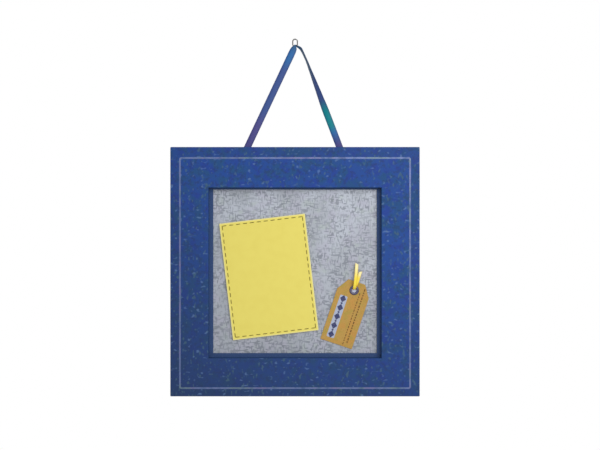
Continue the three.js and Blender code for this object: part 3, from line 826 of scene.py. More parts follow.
def clouded_finish(name, sockets, ground, clouds, rough=None, tooth=None):
    """A material that is clouded with other colours.

    Each cloud has a real size, the limits of its noise, the most of it that shows, and its colour. A
    rough pair is the roughness off and on the last cloud, and a tooth pair is its size and depth.
    """
    finish, tree, shader = start_finish(name, sockets)
    place = add_node(tree, "ShaderNodeTexCoord").outputs["Object"]
    layers = []
    for size, low, high, most, colour in clouds:
        layers.append((patches(tree, place, size, low, high), most, colour))
    paint(tree, shader, ground, *layers)
    if rough:
        add_roughness(tree, shader, layers[-1][0], *rough)
    if tooth:
        add_tooth(tree, shader, place, *tooth)
    return finish


# Finishes

def cover_paper_finish(cover):
    """Coated art paper, hand dyed in clouds, flecked and matt varnished: a faint sheen."""
    finish, tree, shader = start_finish("coated_cover_paper", {"Specular IOR Level": 0.1})
    place = add_node(tree, "ShaderNodeTexCoord").outputs["Object"]
    slate = patches(tree, place, 13 * MM, 0.47, 0.6)
    indigo = patches(tree, place, 9 * MM, 0.5, 0.62)
    # Darker towards the lower left.
    lower_left = add_node(
        tree, "ShaderNodeVectorMath", {0: place, 1: (-0.5, 0, -1)}, operation="DOT_PRODUCT")
    deep = add_node(tree, "ShaderNodeMapRange", {
        "Value": lower_left.outputs["Value"], "From Min": -CENTRE_HEIGHT - 0.5 * FRAME_HALF,
        "From Max": -CENTRE_HEIGHT + 1.5 * FRAME_HALF})
    foil_half = cover.foil_side / 2
    foil_centre = (0, 0, CENTRE_HEIGHT - cover.foil_drop)
    # A shade darker beyond the foil line.
    rim = margin(tree, place, foil_centre, 0, (foil_half, foil_half), 0.5 * MM, 1.5 * MM)
    mottle = patches(tree, place, 3 * MM, 0.52, 0.66, detail=1.0)
    pale = dashes(tree, place, 4.4 * MM, 2.8 * MM, 0.7, 0.0, False)
    olive = dashes(tree, place, 3.8 * MM, 2.4 * MM, 0.69, 7.3, True)
    paint(
        tree, shader, cover.paper, (slate, 0.7, cover.paper_slate), (indigo, 0.7, cover.paper_indigo),
        (deep.outputs["Result"], 0.8, cover.paper_deep), (rim, 0.2, cover.paper_deep),
        (mottle, 0.42, cover.paper_deep), (olive, 0.45, cover.olive_fleck),
        (pale, 0.42, cover.pale_fleck))
    add_roughness(tree, shader, slate, 0.5, 0.6)
    add_tooth(tree, shader, place, 0.7 * MM, 0.03 * MM)
    return finish


def foil_finish(cover):
    """Hot-stamped silver foil: bright, shifting in tint, broken where the paper shows through."""
    clouds = [
        (14 * MM, 0.48, 0.6, 0.8, cover.foil_lilac), (11 * MM, 0.52, 0.64, 0.8, cover.foil_green),
        (6 * MM, 0.45, 0.75, 0.6, cover.paper_slate)]
    return clouded_finish(
        "stamped_silver_foil", {"Metallic": 0.5}, cover.foil, clouds,
        rough=(0.45, 0.65), tooth=(0.7 * MM, 0.02 * MM))


def wall_shade_finish(cover):
    """Dark navy on the window's inner wall, painted shade of the recess: matt, with darker streaks."""
    finish, tree, shader = start_finish(
        "brushed_edge_paint", {"Roughness": 0.75, "Specular IOR Level": 0.1})
    place = add_node(tree, "ShaderNodeTexCoord").outputs["Object"]
    streak = dashes(tree, place, 9 * MM, 1.2 * MM, 0.5, 3.1, False)
    paint(tree, shader, cover.wall_shade, (streak, 0.4, cover.paper_deep))
    add_tooth(tree, shader, place, 0.6 * MM, 0.03 * MM)
    return finish


def navy_card_finish(panel):
    """Dyed-through mount card, matt, with a fine paler fibre."""
    return clouded_finish(
        "navy_mount_card", {"Roughness": 0.7, "Specular IOR Level": 0.25}, panel.navy,
        [(1.6 * MM, 0.5, 0.75, 0.35, linear("#4a6088"))], tooth=(0.6 * MM, 0.03 * MM))


def silver_paper_finish(panel):
    """Pearl-coated silver paper, overprinted with grey strokes that gather and cross: a low sheen, with
    painted shade darkening it towards the bottom of the window.
    """
    finish, tree, shader = start_finish("pearl_silver_paper", {"Metallic": 0.15})
    place = add_node(tree, "ShaderNodeTexCoord").outputs["Object"]
    deep = patches(tree, place, 38 * MM, 0.42, 0.62)
    height = add_node(tree, "ShaderNodeSeparateXYZ", {"Vector": place}).outputs["Z"]
    # Painted shade: darker towards the bottom of the window.
    low_shade = add_node(tree, "ShaderNodeMapRange", {
        "Value": height, "From Min": CENTRE_HEIGHT + WINDOW_HALF,
        "From Max": CENTRE_HEIGHT - WINDOW_HALF})
    lavender = patches(tree, place, 12 * MM, 0.48, 0.62)
    green = patches(tree, place, 8 * MM, 0.55, 0.68)
    gathered = patches(tree, place, 15 * MM, 0.4, 0.56)
    level = dashes(tree, place, 4.2 * MM, 1.5 * MM, 0.55, 1.7, False)
    upright = dashes(tree, place, 4.2 * MM, 1.5 * MM, 0.55, 5.2, True)
    crossed = add_node(tree, "ShaderNodeMath", {0: level, 1: upright}, operation="MAXIMUM").outputs[0]
    strokes = add_node(tree, "ShaderNodeMath", {0: crossed, 1: gathered}, operation="MULTIPLY")
    paint(
        tree, shader, panel.silver, (deep, 0.6, panel.silver_deep_and_shade),
        (low_shade.outputs["Result"], 0.5, panel.silver_deep_and_shade), (lavender, 0.5, panel.lavender),
        (green, 0.5, panel.green_grey), (crossed, 0.4, panel.stroke),
        (strokes.outputs[0], 0.5, panel.stroke))
    add_roughness(tree, shader, lavender, 0.42, 0.52)
    add_tooth(tree, shader, place, 0.9 * MM, 0.03 * MM)
    return finish


def yellow_card_finish(mat):
    """Uncoated yellow card: quite matt, faintly clouded, with a painted highlight along its edges."""
    finish, tree, shader = start_finish(
        "uncoated_yellow_card", {"Roughness": 0.75, "Specular IOR Level": 0.3})
    place = add_node(tree, "ShaderNodeTexCoord").outputs["Object"]
    halves = (mat.width / 2, mat.height / 2)
    # Painted highlight: paler just inside the card's edges.
    edge = margin(tree, place, middle("photo_mat"), mat.turn, halves, -1.4 * MM, -0.3 * MM)
    cloud = patches(tree, place, 9 * MM, 0.4, 0.7)
    paint(tree, shader, mat.card, (cloud, 0.25, linear("#dccb5c")), (edge, 0.8, mat.edge_highlight))
    add_tooth(tree, shader, place, 0.5 * MM, 0.03 * MM)
    return finish


def thread_finish(mat):
    """Twisted cotton thread: matt, with dark lines where the strands lie together."""
    return clouded_finish(
        "twisted_cotton_thread", {"Roughness": 0.85}, mat.thread,
        [(0.5 * MM, 0.4, 0.65, 0.5, linear("#3f3413"))], tooth=(0.3 * MM, 0.08 * MM))


def kraft_finish(tag):
    """Kraft card: brown fibres felted in a clouded, ochre sheet."""
    clouds = [
        (9 * MM, 0.45, 0.62, 0.8, tag.kraft_warm), (6 * MM, 0.5, 0.68, 0.8, tag.kraft_olive),
        (0.9 * MM, 0.5, 0.8, 0.5, linear("#8a6524"))]
    return clouded_finish(
        "kraft_card", {"Roughness": 0.8, "Specular IOR Level": 0.3}, tag.kraft, clouds,
        tooth=(0.5 * MM, 0.05 * MM))


def ink_finish(name, ink):
    """Letterpress ink on kraft: matt, thin where the card's tooth took none."""
    return clouded_finish(
        name, {"Roughness": 0.7, "Specular IOR Level": 0.3}, ink,
        [(1.2 * MM, 0.5, 0.8, 0.4, linear("#b79a63"))])


def enamel_finish(tag):
    """Stoved enamel on a pressed eyelet: glossy, with a few paler rubs."""
    return clouded_finish(
        "stoved_enamel", {"Coat Weight": 0.5, "Coat Roughness": 0.15}, tag.enamel,
        [(1.5 * MM, 0.55, 0.75, 0.35, linear("#77739a"))], rough=(0.3, 0.45))


def satin_finish(name, stops, length, edge_shade):
    """Woven satin ribbon: a bright sheen down the middle, painted shade darkening both edges where the
    cupped ribbon turns away, and fine cross ribs.

    The ribs are drawn coarser than the real 0.15 mm threads, so that they show.
    """
    finish, tree, shader = start_finish(
        name, {"Roughness": 0.5, "Sheen Weight": 0.05, "Specular IOR Level": 0.2})
    along = add_node(tree, "ShaderNodeAttribute", attribute_name="along").outputs["Fac"]
    across = add_node(tree, "ShaderNodeAttribute", attribute_name="across").outputs["Fac"]
    share = add_node(tree, "ShaderNodeMath", {0: along, 1: length}, operation="DIVIDE")
    ramp_colour = add_node(tree, "ShaderNodeValToRGB", {"Fac": share.outputs[0]}, stops=stops)
    aside = add_node(tree, "ShaderNodeMath", {0: across, 1: 0.5}, operation="SUBTRACT")
    away = add_node(tree, "ShaderNodeMath", {0: aside.outputs[0]}, operation="ABSOLUTE")
    # Painted shade: both edges darkened towards the edge colour.
    edge = add_node(
        tree, "ShaderNodeMapRange", {"Value": away.outputs[0], "From Min": 0.2, "From Max": 0.5})
    paint(tree, shader, ramp_colour.outputs["Color"], (edge.outputs["Result"], 0.55, edge_shade))
    rib = add_node(
        tree, "ShaderNodeMath", {0: along, 1: 2 * math.pi / RIB_PITCH}, operation="MULTIPLY")
    wave = add_node(tree, "ShaderNodeMath", {0: rib.outputs[0]}, operation="SINE")
    bump = add_node(tree, "ShaderNodeBump", {"Height": wave.outputs[0], "Distance": RIB_DEPTH})
    tree.links.new(bump.outputs["Normal"], shader.inputs["Normal"])
    return finish


def metal_finish(name, colour, shade, rough, grain):
    """Plated steel: bright, with faint drawn or pressed grain of a real size in the plating."""
    return clouded_finish(
        name, {"Metallic": 1.0}, linear(colour), [(grain, 0.4, 0.7, 0.6, linear(shade))],
        rough=(rough, rough + 0.15), tooth=(grain / 2, 0.005 * MM))


def board_finish(name, ground, fleck, dark, fleck_size):
    """Pressed fibre board: matt, specked with pale and dark fibres of a real size."""
    clouds = [
        (fleck_size, 0.55, 0.75, 0.6, linear(fleck)), (2.3 * fleck_size, 0.55, 0.75, 0.5, linear(dark))]
    return clouded_finish(
        name, {"Roughness": 0.85, "Specular IOR Level": 0.3}, linear(ground), clouds,
        tooth=(0.6 * fleck_size, 0.05 * MM))


def floor_finish(stage):
    """Painted board: matt, faintly clouded."""
    return clouded_finish(
        "painted_floor", {"Roughness": 0.8}, stage.floor, [(0.3, 0.3, 0.7, 0.3, linear("#dededb"))])


# Operators

class PICTURE_FRAME_OT_stage(bpy.types.Operator):
    """Set the camera, the light and the floor"""

    bl_idname = "picture_frame.stage"
    bl_label = "Stage"

    def execute(self, context):
        scene = context.scene
        stage = scene.frame_stage
        scene.view_settings.view_transform = "Standard"
        self.add_camera(scene, stage)
        self.add_world(scene, stage)
        self.add_lamp(scene, stage)
        edge = stage.floor_radius
        slab = turned([(0, -FLOOR_THICKNESS), (edge, -FLOOR_THICKNESS), (edge, 0), (0, 0)])
        place = Matrix.Translation((0, 0, COVER_LOW.z - stage.floor_drop))
        floor = add_object("floor", to_mesh("floor", slab, place, [floor_finish(stage)]))
        return {"FINISHED"}

    def add_camera(self, scene, stage):
        """A level camera in front, a little above the frame's centre."""
        camera = bpy.data.objects.new("camera", bpy.data.cameras.new("camera"))
        camera.location = (
            stage.view_right, COVER_LOW.y - stage.distance, CENTRE_HEIGHT + stage.view_up)
        camera.rotation_euler = (math.radians(90), 0, 0)
        camera.data.lens = camera.data.sensor_width * stage.distance / stage.view_width
        scene.collection.objects.link(camera)
        scene.camera = camera

    def add_world(self, scene, stage):
        """White to the camera and in reflections, and a softer light on the object."""
        world = bpy.data.worlds.new("studio")
        world.use_nodes = True
        scene.world = world
        tree = world.node_tree
        rays = add_node(tree, "ShaderNodeLightPath").outputs
        seen = rays["Is Camera Ray"]
        for ray in ("Is Glossy Ray", "Is Transmission Ray"):
            either = add_node(tree, "ShaderNodeMath", {0: seen, 1: rays[ray]}, operation="MAXIMUM")
            seen = either.outputs[0]
        strength = add_node(
            tree, "ShaderNodeMapRange", {"Value": seen, "To Min": stage.ambient, "To Max": 1.0})
        background = tree.nodes["Background"]
        background.inputs["Color"].default_value = linear("#ffffff")
        tree.links.new(strength.outputs["Result"], background.inputs["Strength"])

    def add_lamp(self, scene, stage):
        """One soft key lamp at the upper right, in front of the frame."""
        data = bpy.data.lights.new("key", "AREA")
        data.energy = stage.key_power
        data.size = KEY_SIZE
        lamp = bpy.data.objects.new("key", data)
        lamp.location = KEY_PLACE
        aim = Vector((0, 0, CENTRE_HEIGHT)) - lamp.location
        lamp.rotation_euler = aim.to_track_quat("-Z", "Y").to_euler()
        scene.collection.objects.link(lamp)


class PICTURE_FRAME_OT_hanger(bpy.types.Operator):
    """Make the wire ring and the ribbon that hangs from it"""

    bl_idname = "picture_frame.hanger"
    bl_label = "Ring and hanging ribbon"

    def execute(self, context):
        ribbon = context.scene.frame_ribbon
        ring = self.add_ring()
        rows = through_points([
            *reversed(self.leg_rows(LEFT_LEG, EXIT_LEFT, 1)),
            *self.bight_rows(),
            *self.leg_rows(RIGHT_LEG, EXIT_RIGHT, -1),
        ])
        rolls, opened, bows = zip(*(row[3:] for row in rows))
        stations = ribbon_stations(
            [Vector(row[:3]) for row in rows], rolls,
            [RIBBON_GATHER + (ribbon.width - RIBBON_GATHER) * share for share in opened],
            [GATHER_THICKNESS + (RIBBON_THICKNESS - GATHER_THICKNESS) * share for share in opened],
            [ribbon.cup * bow for bow in bows],
        )
        length = stations[-1].along
        stops = [(at * MM / length, getattr(ribbon, ramp_colour)) for at, ramp_colour in RIBBON_DYES]
        # The dark blue is painted shade along the ribbon's edges.
        satin = satin_finish("dyed_satin_ribbon", stops, length, linear("#232f5e"))
        mesh = ribbon_mesh("hanging_ribbon_satin", stations, 0.0, satin)
        piece = add_object("hanging_ribbon_satin", mesh)
        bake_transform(piece)
        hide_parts("hanging_ribbon", "ribbon_end_left", "ribbon_end_right")
        return {"FINISHED"}

    def add_ring(self):
        """Wire bent to two round ends with straight sides, closed but for the split on its upper end."""
        half_gap = math.degrees(RING_SPLIT / RING_RADIUS) / 2
        arcs = (
            (1, RING_SPLIT_ANGLE + half_gap, 180), (-1, 180, 360), (1, 0, RING_SPLIT_ANGLE - half_gap))
        steps = ROUND_STEPS // 2
        rings = []
        for end, first, last in arcs:
            lift = end * RING_STRAIGHT / 2
            for step in range(steps + 1):
                angle = math.radians(first + (last - first) * step / steps)
                outward = Vector((math.cos(angle), 0, math.sin(angle)))
                rings.append([
                    outward * (RING_RADIUS + x) + Vector((0, y, lift))
                    for x, y in circle(RING_WIRE / 2, WIRE_STEPS)
                ])
        nickel = metal_finish("nickel_plated_wire", "#5a5957", "#474745", 0.35, 0.8 * MM)
        return make_piece(
            "hanging_ring_wire", skinned(rings, closed=False), None, [nickel], "hook_ring",
            "nickel_wire", "hanging_ring")

    def leg_rows(self, leg, exit_across, side):
        """Place, roll, opening and bow down one leg and its tail, with the leg in front or behind."""
        start = Vector((0, 0, RING_FOOT))
        fold = Vector((exit_across, 0, TOP_EDGE))
        run = (fold - start).normalized()
        rows = []
        for share, aside, offset, roll, opened in leg:
            at = start.lerp(fold, share) + Vector((aside * MM, -side * offset * BIGHT_RADIUS, 0))
            rows.append([*at, roll, opened, -side * opened])
        for past, bow in ((0.0, 0.5), (TAIL_FLAT, 0.0), (TAIL_LENGTH, 0.0)):
            rows.append([*(fold + run * past), 0, 1, -side * bow])
        return rows

    def bight_rows(self):
        """The gathered turn of the ribbon over the wire, from the front to the back."""
        rows = []
        for degrees in BIGHT_ANGLES:
            angle = math.radians(degrees)
            at = (0, -BIGHT_RADIUS * math.cos(angle), BIGHT_RADIUS * math.sin(angle) + RING_FOOT)
            rows.append([*at, 0, 0, 0])
        return rows


class PICTURE_FRAME_OT_tie(bpy.types.Operator):
    """Make the short ribbon drawn through the tag's eyelet"""

    bl_idname = "picture_frame.tie"
    bl_label = "Tie"

    def execute(self, context):
        ribbon = context.scene.frame_ribbon
        eyelet = middle("tag_eyelet")
        route = [
            [eyelet.x + across * MM, -SILVER_LEVEL - out * MM, eyelet.z + up * MM]
            for across, up, out in TIE_ROUTE
        ]
        places = [Vector(row) for row in through_points(route)]
        section = (0, ribbon.tie_width, RIBBON_THICKNESS, TIE_CUP)
        stations = ribbon_stations(places, *([value] * len(places) for value in section))
        length = stations[-1].along
        stops = [(share, getattr(ribbon, ramp_colour)) for share, ramp_colour in TIE_DYE_SHADE_AND_HIGHLIGHT]
        satin = satin_finish("yellow_satin_ribbon", stops, length, ribbon.gold)
        mesh = ribbon_mesh("tag_tie_satin", stations, TIE_SLANT, satin)
        piece = add_piece("tag_tie_satin", mesh, "tag", "yellow_ribbon", "tag_tie")
        return {"FINISHED"}


class PICTURE_FRAME_OT_cover(bpy.types.Operator):
    """Wrap the frame in its flecked paper and stamp the foil line"""

    bl_idname = "picture_frame.cover"
    bl_label = "Covering paper"

    def execute(self, context):
        cover = context.scene.frame_cover
        fold = cover.fold_radius
        inner_fold = fold - PAPER
        wall_foot = levels("slip_top")[1] + GLUE
        flange_edge = FRAME_HALF - cover.flange_width
        section = [
            ((WINDOW_HALF, wall_foot), 0),
            ((WINDOW_HALF, FRONT_LEVEL), fold),
            ((FRAME_HALF, FRONT_LEVEL), fold),
            ((FRAME_HALF, BACK_LEVEL), fold),
            ((flange_edge, BACK_LEVEL), 0),
            ((flange_edge, BACK_LEVEL + PAPER), 0),
            ((FRAME_HALF - PAPER, BACK_LEVEL + PAPER), inner_fold),
            ((FRAME_HALF - PAPER, FRONT_LEVEL - PAPER), inner_fold),
            ((WINDOW_HALF + PAPER, FRONT_LEVEL - PAPER), inner_fold),
            ((WINDOW_HALF + PAPER, wall_foot), 0),
        ]
        wrap = wrapped(rounded(*zip(*section)), cover.corner_radius)
        # Faces on the window's inner wall take the second finish, dark navy as painted shade.
        for face in wrap.faces:
            at = face.calc_center_median()
            reach = max(abs(at.x), abs(at.y))
            face.material_index = int(reach < WINDOW_HALF + PAPER / 2 and at.z < FRONT_LEVEL - fold / 2)
        finishes = [cover_paper_finish(cover), wall_shade_finish(cover)]
        make_piece("cover_paper_wrap", wrap, FACE_ON, finishes, "frame", "blue_paper", "cover_paper")
        self.add_foil(cover)
        return {"FINISHED"}

    def add_foil(self, cover):
        """A thin stamped line, round the front near the outer edge."""
        outer, inner = (
            rectangle(cover.foil_side + wider, cover.foil_side + wider, FOIL_BEND + wider / 2)
            for wider in (cover.foil_width, -cover.foil_width))
        line = plate(outer, FRONT_LEVEL - INK, FRONT_LEVEL + INK, holes=[inner[::-1]])
        place = FACE_ON @ Matrix.Translation((0, -cover.foil_drop, 0))
        make_piece("foil_line", line, place, [foil_finish(cover)], "frame", "silver_paper")


class PICTURE_FRAME_OT_boards(bpy.types.Operator):
    """Finish the rails, the slip and the boards in the rebate"""

    bl_idname = "picture_frame.boards"
    bl_label = "Rails and boards"

    def execute(self, context):
        panel = context.scene.frame_panel
        fibreboard = board_finish("fibreboard", "#b08c62", "#c9aa80", "#8f6d47", 1.2 * MM)
        dress(fibreboard, *(f"rail_{side}" for side in SIDES))
        dress(navy_card_finish(panel), *(f"slip_{side}" for side in SIDES))
        dress(silver_paper_finish(panel), "silver_paper")
        dress(board_finish("greyboard", "#8d8a84", "#a3a09a", "#74716b", 1.6 * MM), "display_board")
        dress(board_finish("hardboard", "#66492f", "#7d5d3e", "#4a331f", 1.4 * MM), "backing_board")
        steel = metal_finish("driven_nail_steel", "#a7abad", "#8b9093", 0.35, 1.5 * MM)
        dress(steel, *(f"corner_nail_{number}" for number in CORNER_NUMBERS))
        return {"FINISHED"}


class PICTURE_FRAME_OT_photo_mat(bpy.types.Operator):
    """Make the yellow mat with its stitched border and foam pads"""

    bl_idname = "picture_frame.photo_mat"
    bl_label = "Photo mat"

    def execute(self, context):
        mat = context.scene.frame_mat
        place = on_face(middle("photo_mat"), mat.turn)
        back, front = levels("photo_mat")
        card = plate(rectangle(mat.width, mat.height, MAT_CORNER), back, front, edge=CARD_EDGE)
        make_piece(
            "photo_mat_card", card, place, [yellow_card_finish(mat)], "frame", "yellow_card",
            "photo_mat")
        self.add_stitches(mat, place, front)
        self.add_pads(mat, place)
        return {"FINISHED"}

    def corners(self, mat, inset):
        """Corners of a rectangle inside the mat's edge, clockwise from the upper left."""
        x = mat.width / 2 - inset
        y = mat.height / 2 - inset
        return [(-x, y), (x, y), (x, -y), (-x, -y)]

    def add_stitches(self, mat, place, front):
        """Whole stitches along each side, with one ending at every corner."""
        corners = [Vector((*corner, front)) for corner in self.corners(mat, mat.stitch_inset)]
        points = []
        for start, end in zip(corners, corners[1:] + corners[:1]):
            side = end - start
            spare = side.length - mat.stitch_length
            count = round(spare / mat.stitch_pitch)
            for number in range(count + 1):
                reach = mat.stitch_length / 2 + spare * number / count
                points.append((start + side.normalized() * reach, math.atan2(side.y, side.x)))
        mesh = grown("photo_mat_stitches", points, stitch_tree(), {
            "Stitch Length": mat.stitch_length, "Thread Width": mat.thread_width, "Rise": STITCH_RISE,
            "Wander": STITCH_WANDER, "Seed": STITCH_SEED, "Finish": thread_finish(mat)}, place)
        add_piece("photo_mat_stitches", mesh, "frame", "yellow_card")

    def add_pads(self, mat, place):
        """Foam pads between the mat and the silver paper, one near each corner."""
        back, front = levels("foam_pad_1")
        outline = rectangle(PAD_SIDE, PAD_SIDE, PAD_CORNER)
        pads = []
        for across, up in self.corners(mat, PAD_INSET + PAD_SIDE / 2):
            pad = plate(outline, back, front, edge=FOAM_EDGE)
            pad.transform(Matrix.Translation((across, up, 0)))
            pads.append(pad)
        foam = board_finish("closed_cell_foam", "#f0f0ea", "#fafaf6", "#dcdcd4", 0.4 * MM)
        nodes = [f"foam_pad_{number}" for number in CORNER_NUMBERS]
        piece = make_piece("foam_pads", joined(pads), place, [foam], "frame", "foam", *nodes)


class PICTURE_FRAME_OT_hang_tag(bpy.types.Operator):
    """Make the kraft tag, its printing and its eyelet"""

    bl_idname = "picture_frame.hang_tag"
    bl_label = "Hang tag"

    def execute(self, context):
        tag = context.scene.frame_tag
        eyelet = middle("tag_eyelet")
        slant = on_face(eyelet, tag.turn)
        back, front = levels("tag_card")
        side = tag.width / 2
        top = side - tag.clip_width
        shoulder = tag.above - tag.clip_height
        outline = rounded([
            (-side, -tag.below), (side, -tag.below), (side, shoulder), (top, tag.above),
            (-top, tag.above), (-side, shoulder)], TAG_CORNER)
        hole = circle(tag.bore / 2 + CARD_HOLE_ROOM)[::-1]
        card = plate(outline, back, front, edge=TAG_EDGE, holes=[hole])
        make_piece("tag_card_kraft", card, slant, [kraft_finish(tag)], "tag", "kraft_card", "tag_card")
        self.add_print(tag, slant, front)
        self.add_eyelet(tag, on_face(eyelet))
        return {"FINISHED"}

    def add_print(self, tag, slant, front):
        """A pale strip with a row of lozenges, and two dashed rules beside it."""
        strip = [(STRIP_CENTRE, rectangle(STRIP_WIDTH, STRIP_LENGTH, STRIP_CORNER))]
        prints = {
            "tag_strip": (strip, INK, tag.wash),
            "tag_lozenges": (self.lozenges(), 2 * INK, tag.navy_ink),
            "tag_rules": (self.rules(), INK, tag.brown_ink),
        }
        for name, (marks, height, ink) in prints.items():
            shape = joined(
                plate([point + centre for point in outline], front - INK, front + height)
                for centre, outline in marks)
            make_piece(name, shape, slant, [ink_finish(f"{name}_ink", ink)], "tag", "kraft_card")

    def lozenges(self):
        """Large lozenges down the strip with small ones between them."""
        marks = []
        for number in range(LOZENGE_COUNT):
            reach = (number - (LOZENGE_COUNT - 1) / 2) * LOZENGE_PITCH
            across, up = SMALL_LOZENGE if number % 2 else LARGE_LOZENGE
            outline = [Vector(corner) for corner in ((0, -up), (across, 0), (0, up), (-across, 0))]
            marks.append((STRIP_CENTRE + Vector((0, reach)), outline))
        return marks

    def rules(self):
        """Two lines of dashes down the right of the tag, each third dash a long one."""
        marks = []
        for across, width, reach, last in RULES:
            number = 0
            while reach > last:
                dash = SHORT_DASH if number % 3 else LONG_DASH
                marks.append((Vector((across, reach - dash / 2)), rectangle(width, dash, DASH_CORNER)))
                reach -= dash + DASH_GAP
                number += 1
        return marks

    def add_eyelet(self, tag, place):
        """A closed cup: a rolled flange in front, a barrel, a floor, and a curl behind the board."""
        back, front = levels("tag_eyelet")
        bore, flange = tag.bore / 2, tag.flange / 2
        barrel = bore + BARREL_WALL
        seat = levels("tag_card")[1] + FLANGE_LIFT
        curl_front = back + CURL_HEIGHT
        curl_middle = ((CURL_RADIUS + bore) / 2, curl_front)
        flange_middle = ((flange + bore) / 2, seat)
        floor_back = SILVER_LEVEL - CUP_FLOOR
        shape = turned([
            (0, floor_back), (bore, floor_back),
            *half_round(curl_middle, (CURL_RADIUS - bore) / 2, CURL_HEIGHT, 180, 360),
            (barrel, curl_front), (barrel, seat),
            *half_round(flange_middle, (flange - bore) / 2, front - seat, 0, 180),
            (bore, SILVER_LEVEL), (0, SILVER_LEVEL),
        ])
        for face in shape.faces:
            at = face.calc_center_median()
            face.material_index = int(at.xy.length <= bore and at.z > SILVER_LEVEL - INK)
        plated = metal_finish("plated_bore", "#9b9eac", "#8b8e9e", 0.45, 1.5 * MM)
        make_piece(
            "tag_eyelet_rolled", shape, place, [enamel_finish(tag), plated], "tag", "enamelled_metal",
            "tag_eyelet")


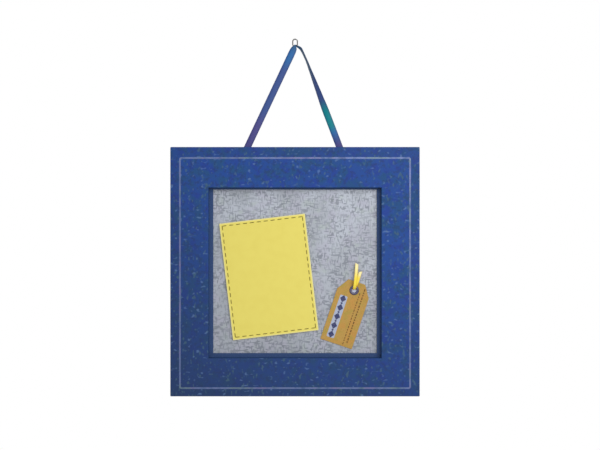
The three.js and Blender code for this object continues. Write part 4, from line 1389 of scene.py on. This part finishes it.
class PICTURE_FRAME_OT_fixings(bpy.types.Operator):
    """Make the turn buttons, their screws and the ribbon's staples"""

    bl_idname = "picture_frame.fixings"
    bl_label = "Fixings behind"

    def execute(self, context):
        zinc = metal_finish("zinc_plated_steel", "#b4b8ba", "#969b9e", 0.3, 2 * MM)
        self.add_buttons(zinc)
        self.add_screws(zinc)
        self.add_staples(zinc)
        return {"FINISHED"}

    def add_buttons(self, zinc):
        """Pressed plates with round ends, each on a collar that its screw goes through."""
        radius, reach, tail, thickness = 4.5 * MM, 14 * MM, 5 * MM, 1 * MM
        hole = circle(BUTTON_HOLE)[::-1]
        rim = circle(COLLAR_RADIUS)
        outline = rounded(
            [(-radius, -reach), (radius, -reach), (radius, tail), (-radius, tail)],
            BUTTON_ROUNDING * radius, BUTTON_STEPS)
        back, front = levels("turn_button_top")
        for side, turn in SIDES.items():
            pressed = plate(outline, back, back + thickness, edge=PRESSED_EDGE, holes=[hole])
            collar = plate(rim, back + thickness / 2, front, holes=[hole])
            place = on_face(middle(f"turn_button_screw_{side}"), math.radians(turn))
            make_piece(
                f"turn_button_{side}_plate", joined([pressed, collar]), place, [zinc], f"button_{side}",
                "zinc_steel", f"turn_button_{side}")

    def add_screws(self, zinc):
        """Round-headed slotted screws through the buttons."""
        nodes = [f"turn_button_screw_{side}" for side in SIDES]
        back, tip = levels(nodes[0])
        shank, head, head_height, rim, point = 1.5 * MM, 3 * MM, 1.7 * MM, 0.6 * MM, 2 * MM
        seat = back + head_height
        dome = half_round((0, seat - rim), head, rim - head_height, 0, 90)
        profile = [(0, tip), (shank, tip - point), (shank, seat), (head, seat), *dome]
        profile[-1] = (0, back)
        blank = add_object("screw_blank", to_mesh("screw_blank", turned(profile)))
        slot_width, slot_depth = 0.8 * MM, 0.7 * MM
        slot = plate(rectangle(3 * head, slot_width, 0), back - slot_depth, back + slot_depth)
        cutter = add_object("screw_slot", to_mesh("screw_slot", slot))
        cut = blank.modifiers.new("slot", "BOOLEAN")
        cut.operation = "DIFFERENCE"
        cut.object = cutter
        points = [((pivot.x, pivot.z - CENTRE_HEIGHT, 0), 0.0) for pivot in map(middle, nodes)]
        mesh = grown("turn_button_screws", points, fixing_tree(), {
            "Shape": blank, "Wander": SCREW_WANDER, "Seed": SCREW_SEED, "Finish": zinc}, FACE_ON)
        bpy.data.objects.remove(blank)
        bpy.data.objects.remove(cutter)
        add_piece("turn_button_screws", mesh, "frame", "zinc_steel", *nodes)

    def add_staples(self, zinc):
        """Flat-wire staples with rounded shoulders, one across each end of the ribbon."""
        crown, wire, breadth, leg = 9.6 * MM, 0.7 * MM, 1.2 * MM, 6.5 * MM
        shoulder, crook = 0.6 * MM, 0.2 * MM
        back = levels("staple_left")[0]
        front = back + wire
        tip = front + leg
        outer, inner = crown / 2, crown / 2 - wire
        bow = rounded([
            (-outer, back), (outer, back), (outer, tip), (inner, tip), (inner, front), (-inner, front),
            (-inner, tip), (-outer, tip)], [shoulder, shoulder, 0, 0, crook, crook, 0, 0])
        shape = plate(bow, -breadth / 2, breadth / 2, edge=WIRE_EDGE)
        shape.transform(Matrix.Rotation(math.radians(90), 4, "X"))
        staple = add_object("staple_shape", to_mesh("staple_shape", shape))
        points = []
        for exit_across in (EXIT_LEFT, EXIT_RIGHT):
            run = Vector((exit_across, TOP_EDGE - RING_FOOT)).normalized()
            at = Vector((exit_across, TOP_EDGE - CENTRE_HEIGHT)) + run * STAPLE_BELOW
            points.append(((*at, 0), math.atan2(run.x, -run.y)))
        mesh = grown("ribbon_staples", points, fixing_tree(), {
            "Shape": staple, "Wander": 0.0, "Seed": 0, "Finish": zinc}, FACE_ON)
        bpy.data.objects.remove(staple)
        add_piece("ribbon_staples", mesh, "frame", "zinc_steel", "staple_left", "staple_right")


class PICTURE_FRAME_PT_panel(bpy.types.Panel):
    """Steps that dress the picture frame"""

    bl_label = "Picture Frame"
    bl_space_type = "VIEW_3D"
    bl_region_type = "UI"
    bl_category = "Picture Frame"

    def draw(self, context):
        for operator in OPERATORS:
            self.layout.operator(operator.bl_idname)
        for settings in SETTINGS:
            box = self.layout.box()
            group = getattr(context.scene, settings)
            for name in group.__annotations__:
                box.prop(group, name)


SETTINGS = {
    "frame_cover": CoverSettings,
    "frame_panel": PanelSettings,
    "frame_mat": MatSettings,
    "frame_tag": TagSettings,
    "frame_ribbon": RibbonSettings,
    "frame_stage": StageSettings,
}
OPERATORS = (
    PICTURE_FRAME_OT_stage,
    PICTURE_FRAME_OT_hanger,
    PICTURE_FRAME_OT_tie,
    PICTURE_FRAME_OT_cover,
    PICTURE_FRAME_OT_boards,
    PICTURE_FRAME_OT_photo_mat,
    PICTURE_FRAME_OT_hang_tag,
    PICTURE_FRAME_OT_fixings,
)


def register():
    """Registers the settings, the operators and the panel."""
    for name, settings in SETTINGS.items():
        bpy.utils.register_class(settings)
        setattr(bpy.types.Scene, name, bpy.props.PointerProperty(type=settings))
    for cls in (*OPERATORS, PICTURE_FRAME_PT_panel):
        bpy.utils.register_class(cls)


def unregister():
    """Takes them away again."""
    for cls in (PICTURE_FRAME_PT_panel, *reversed(OPERATORS)):
        bpy.utils.unregister_class(cls)
    for name, settings in SETTINGS.items():
        delattr(bpy.types.Scene, name)
        bpy.utils.unregister_class(settings)


def main():
    """Dresses the frame step by step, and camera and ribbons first."""
    register()
    bpy.ops.picture_frame.stage()
    bpy.ops.picture_frame.hanger()
    bpy.ops.picture_frame.tie()
    bpy.ops.picture_frame.cover()
    bpy.ops.picture_frame.boards()
    bpy.ops.picture_frame.photo_mat()
    bpy.ops.picture_frame.hang_tag()
    bpy.ops.picture_frame.fixings()


if __name__ == "__main__":
    main()
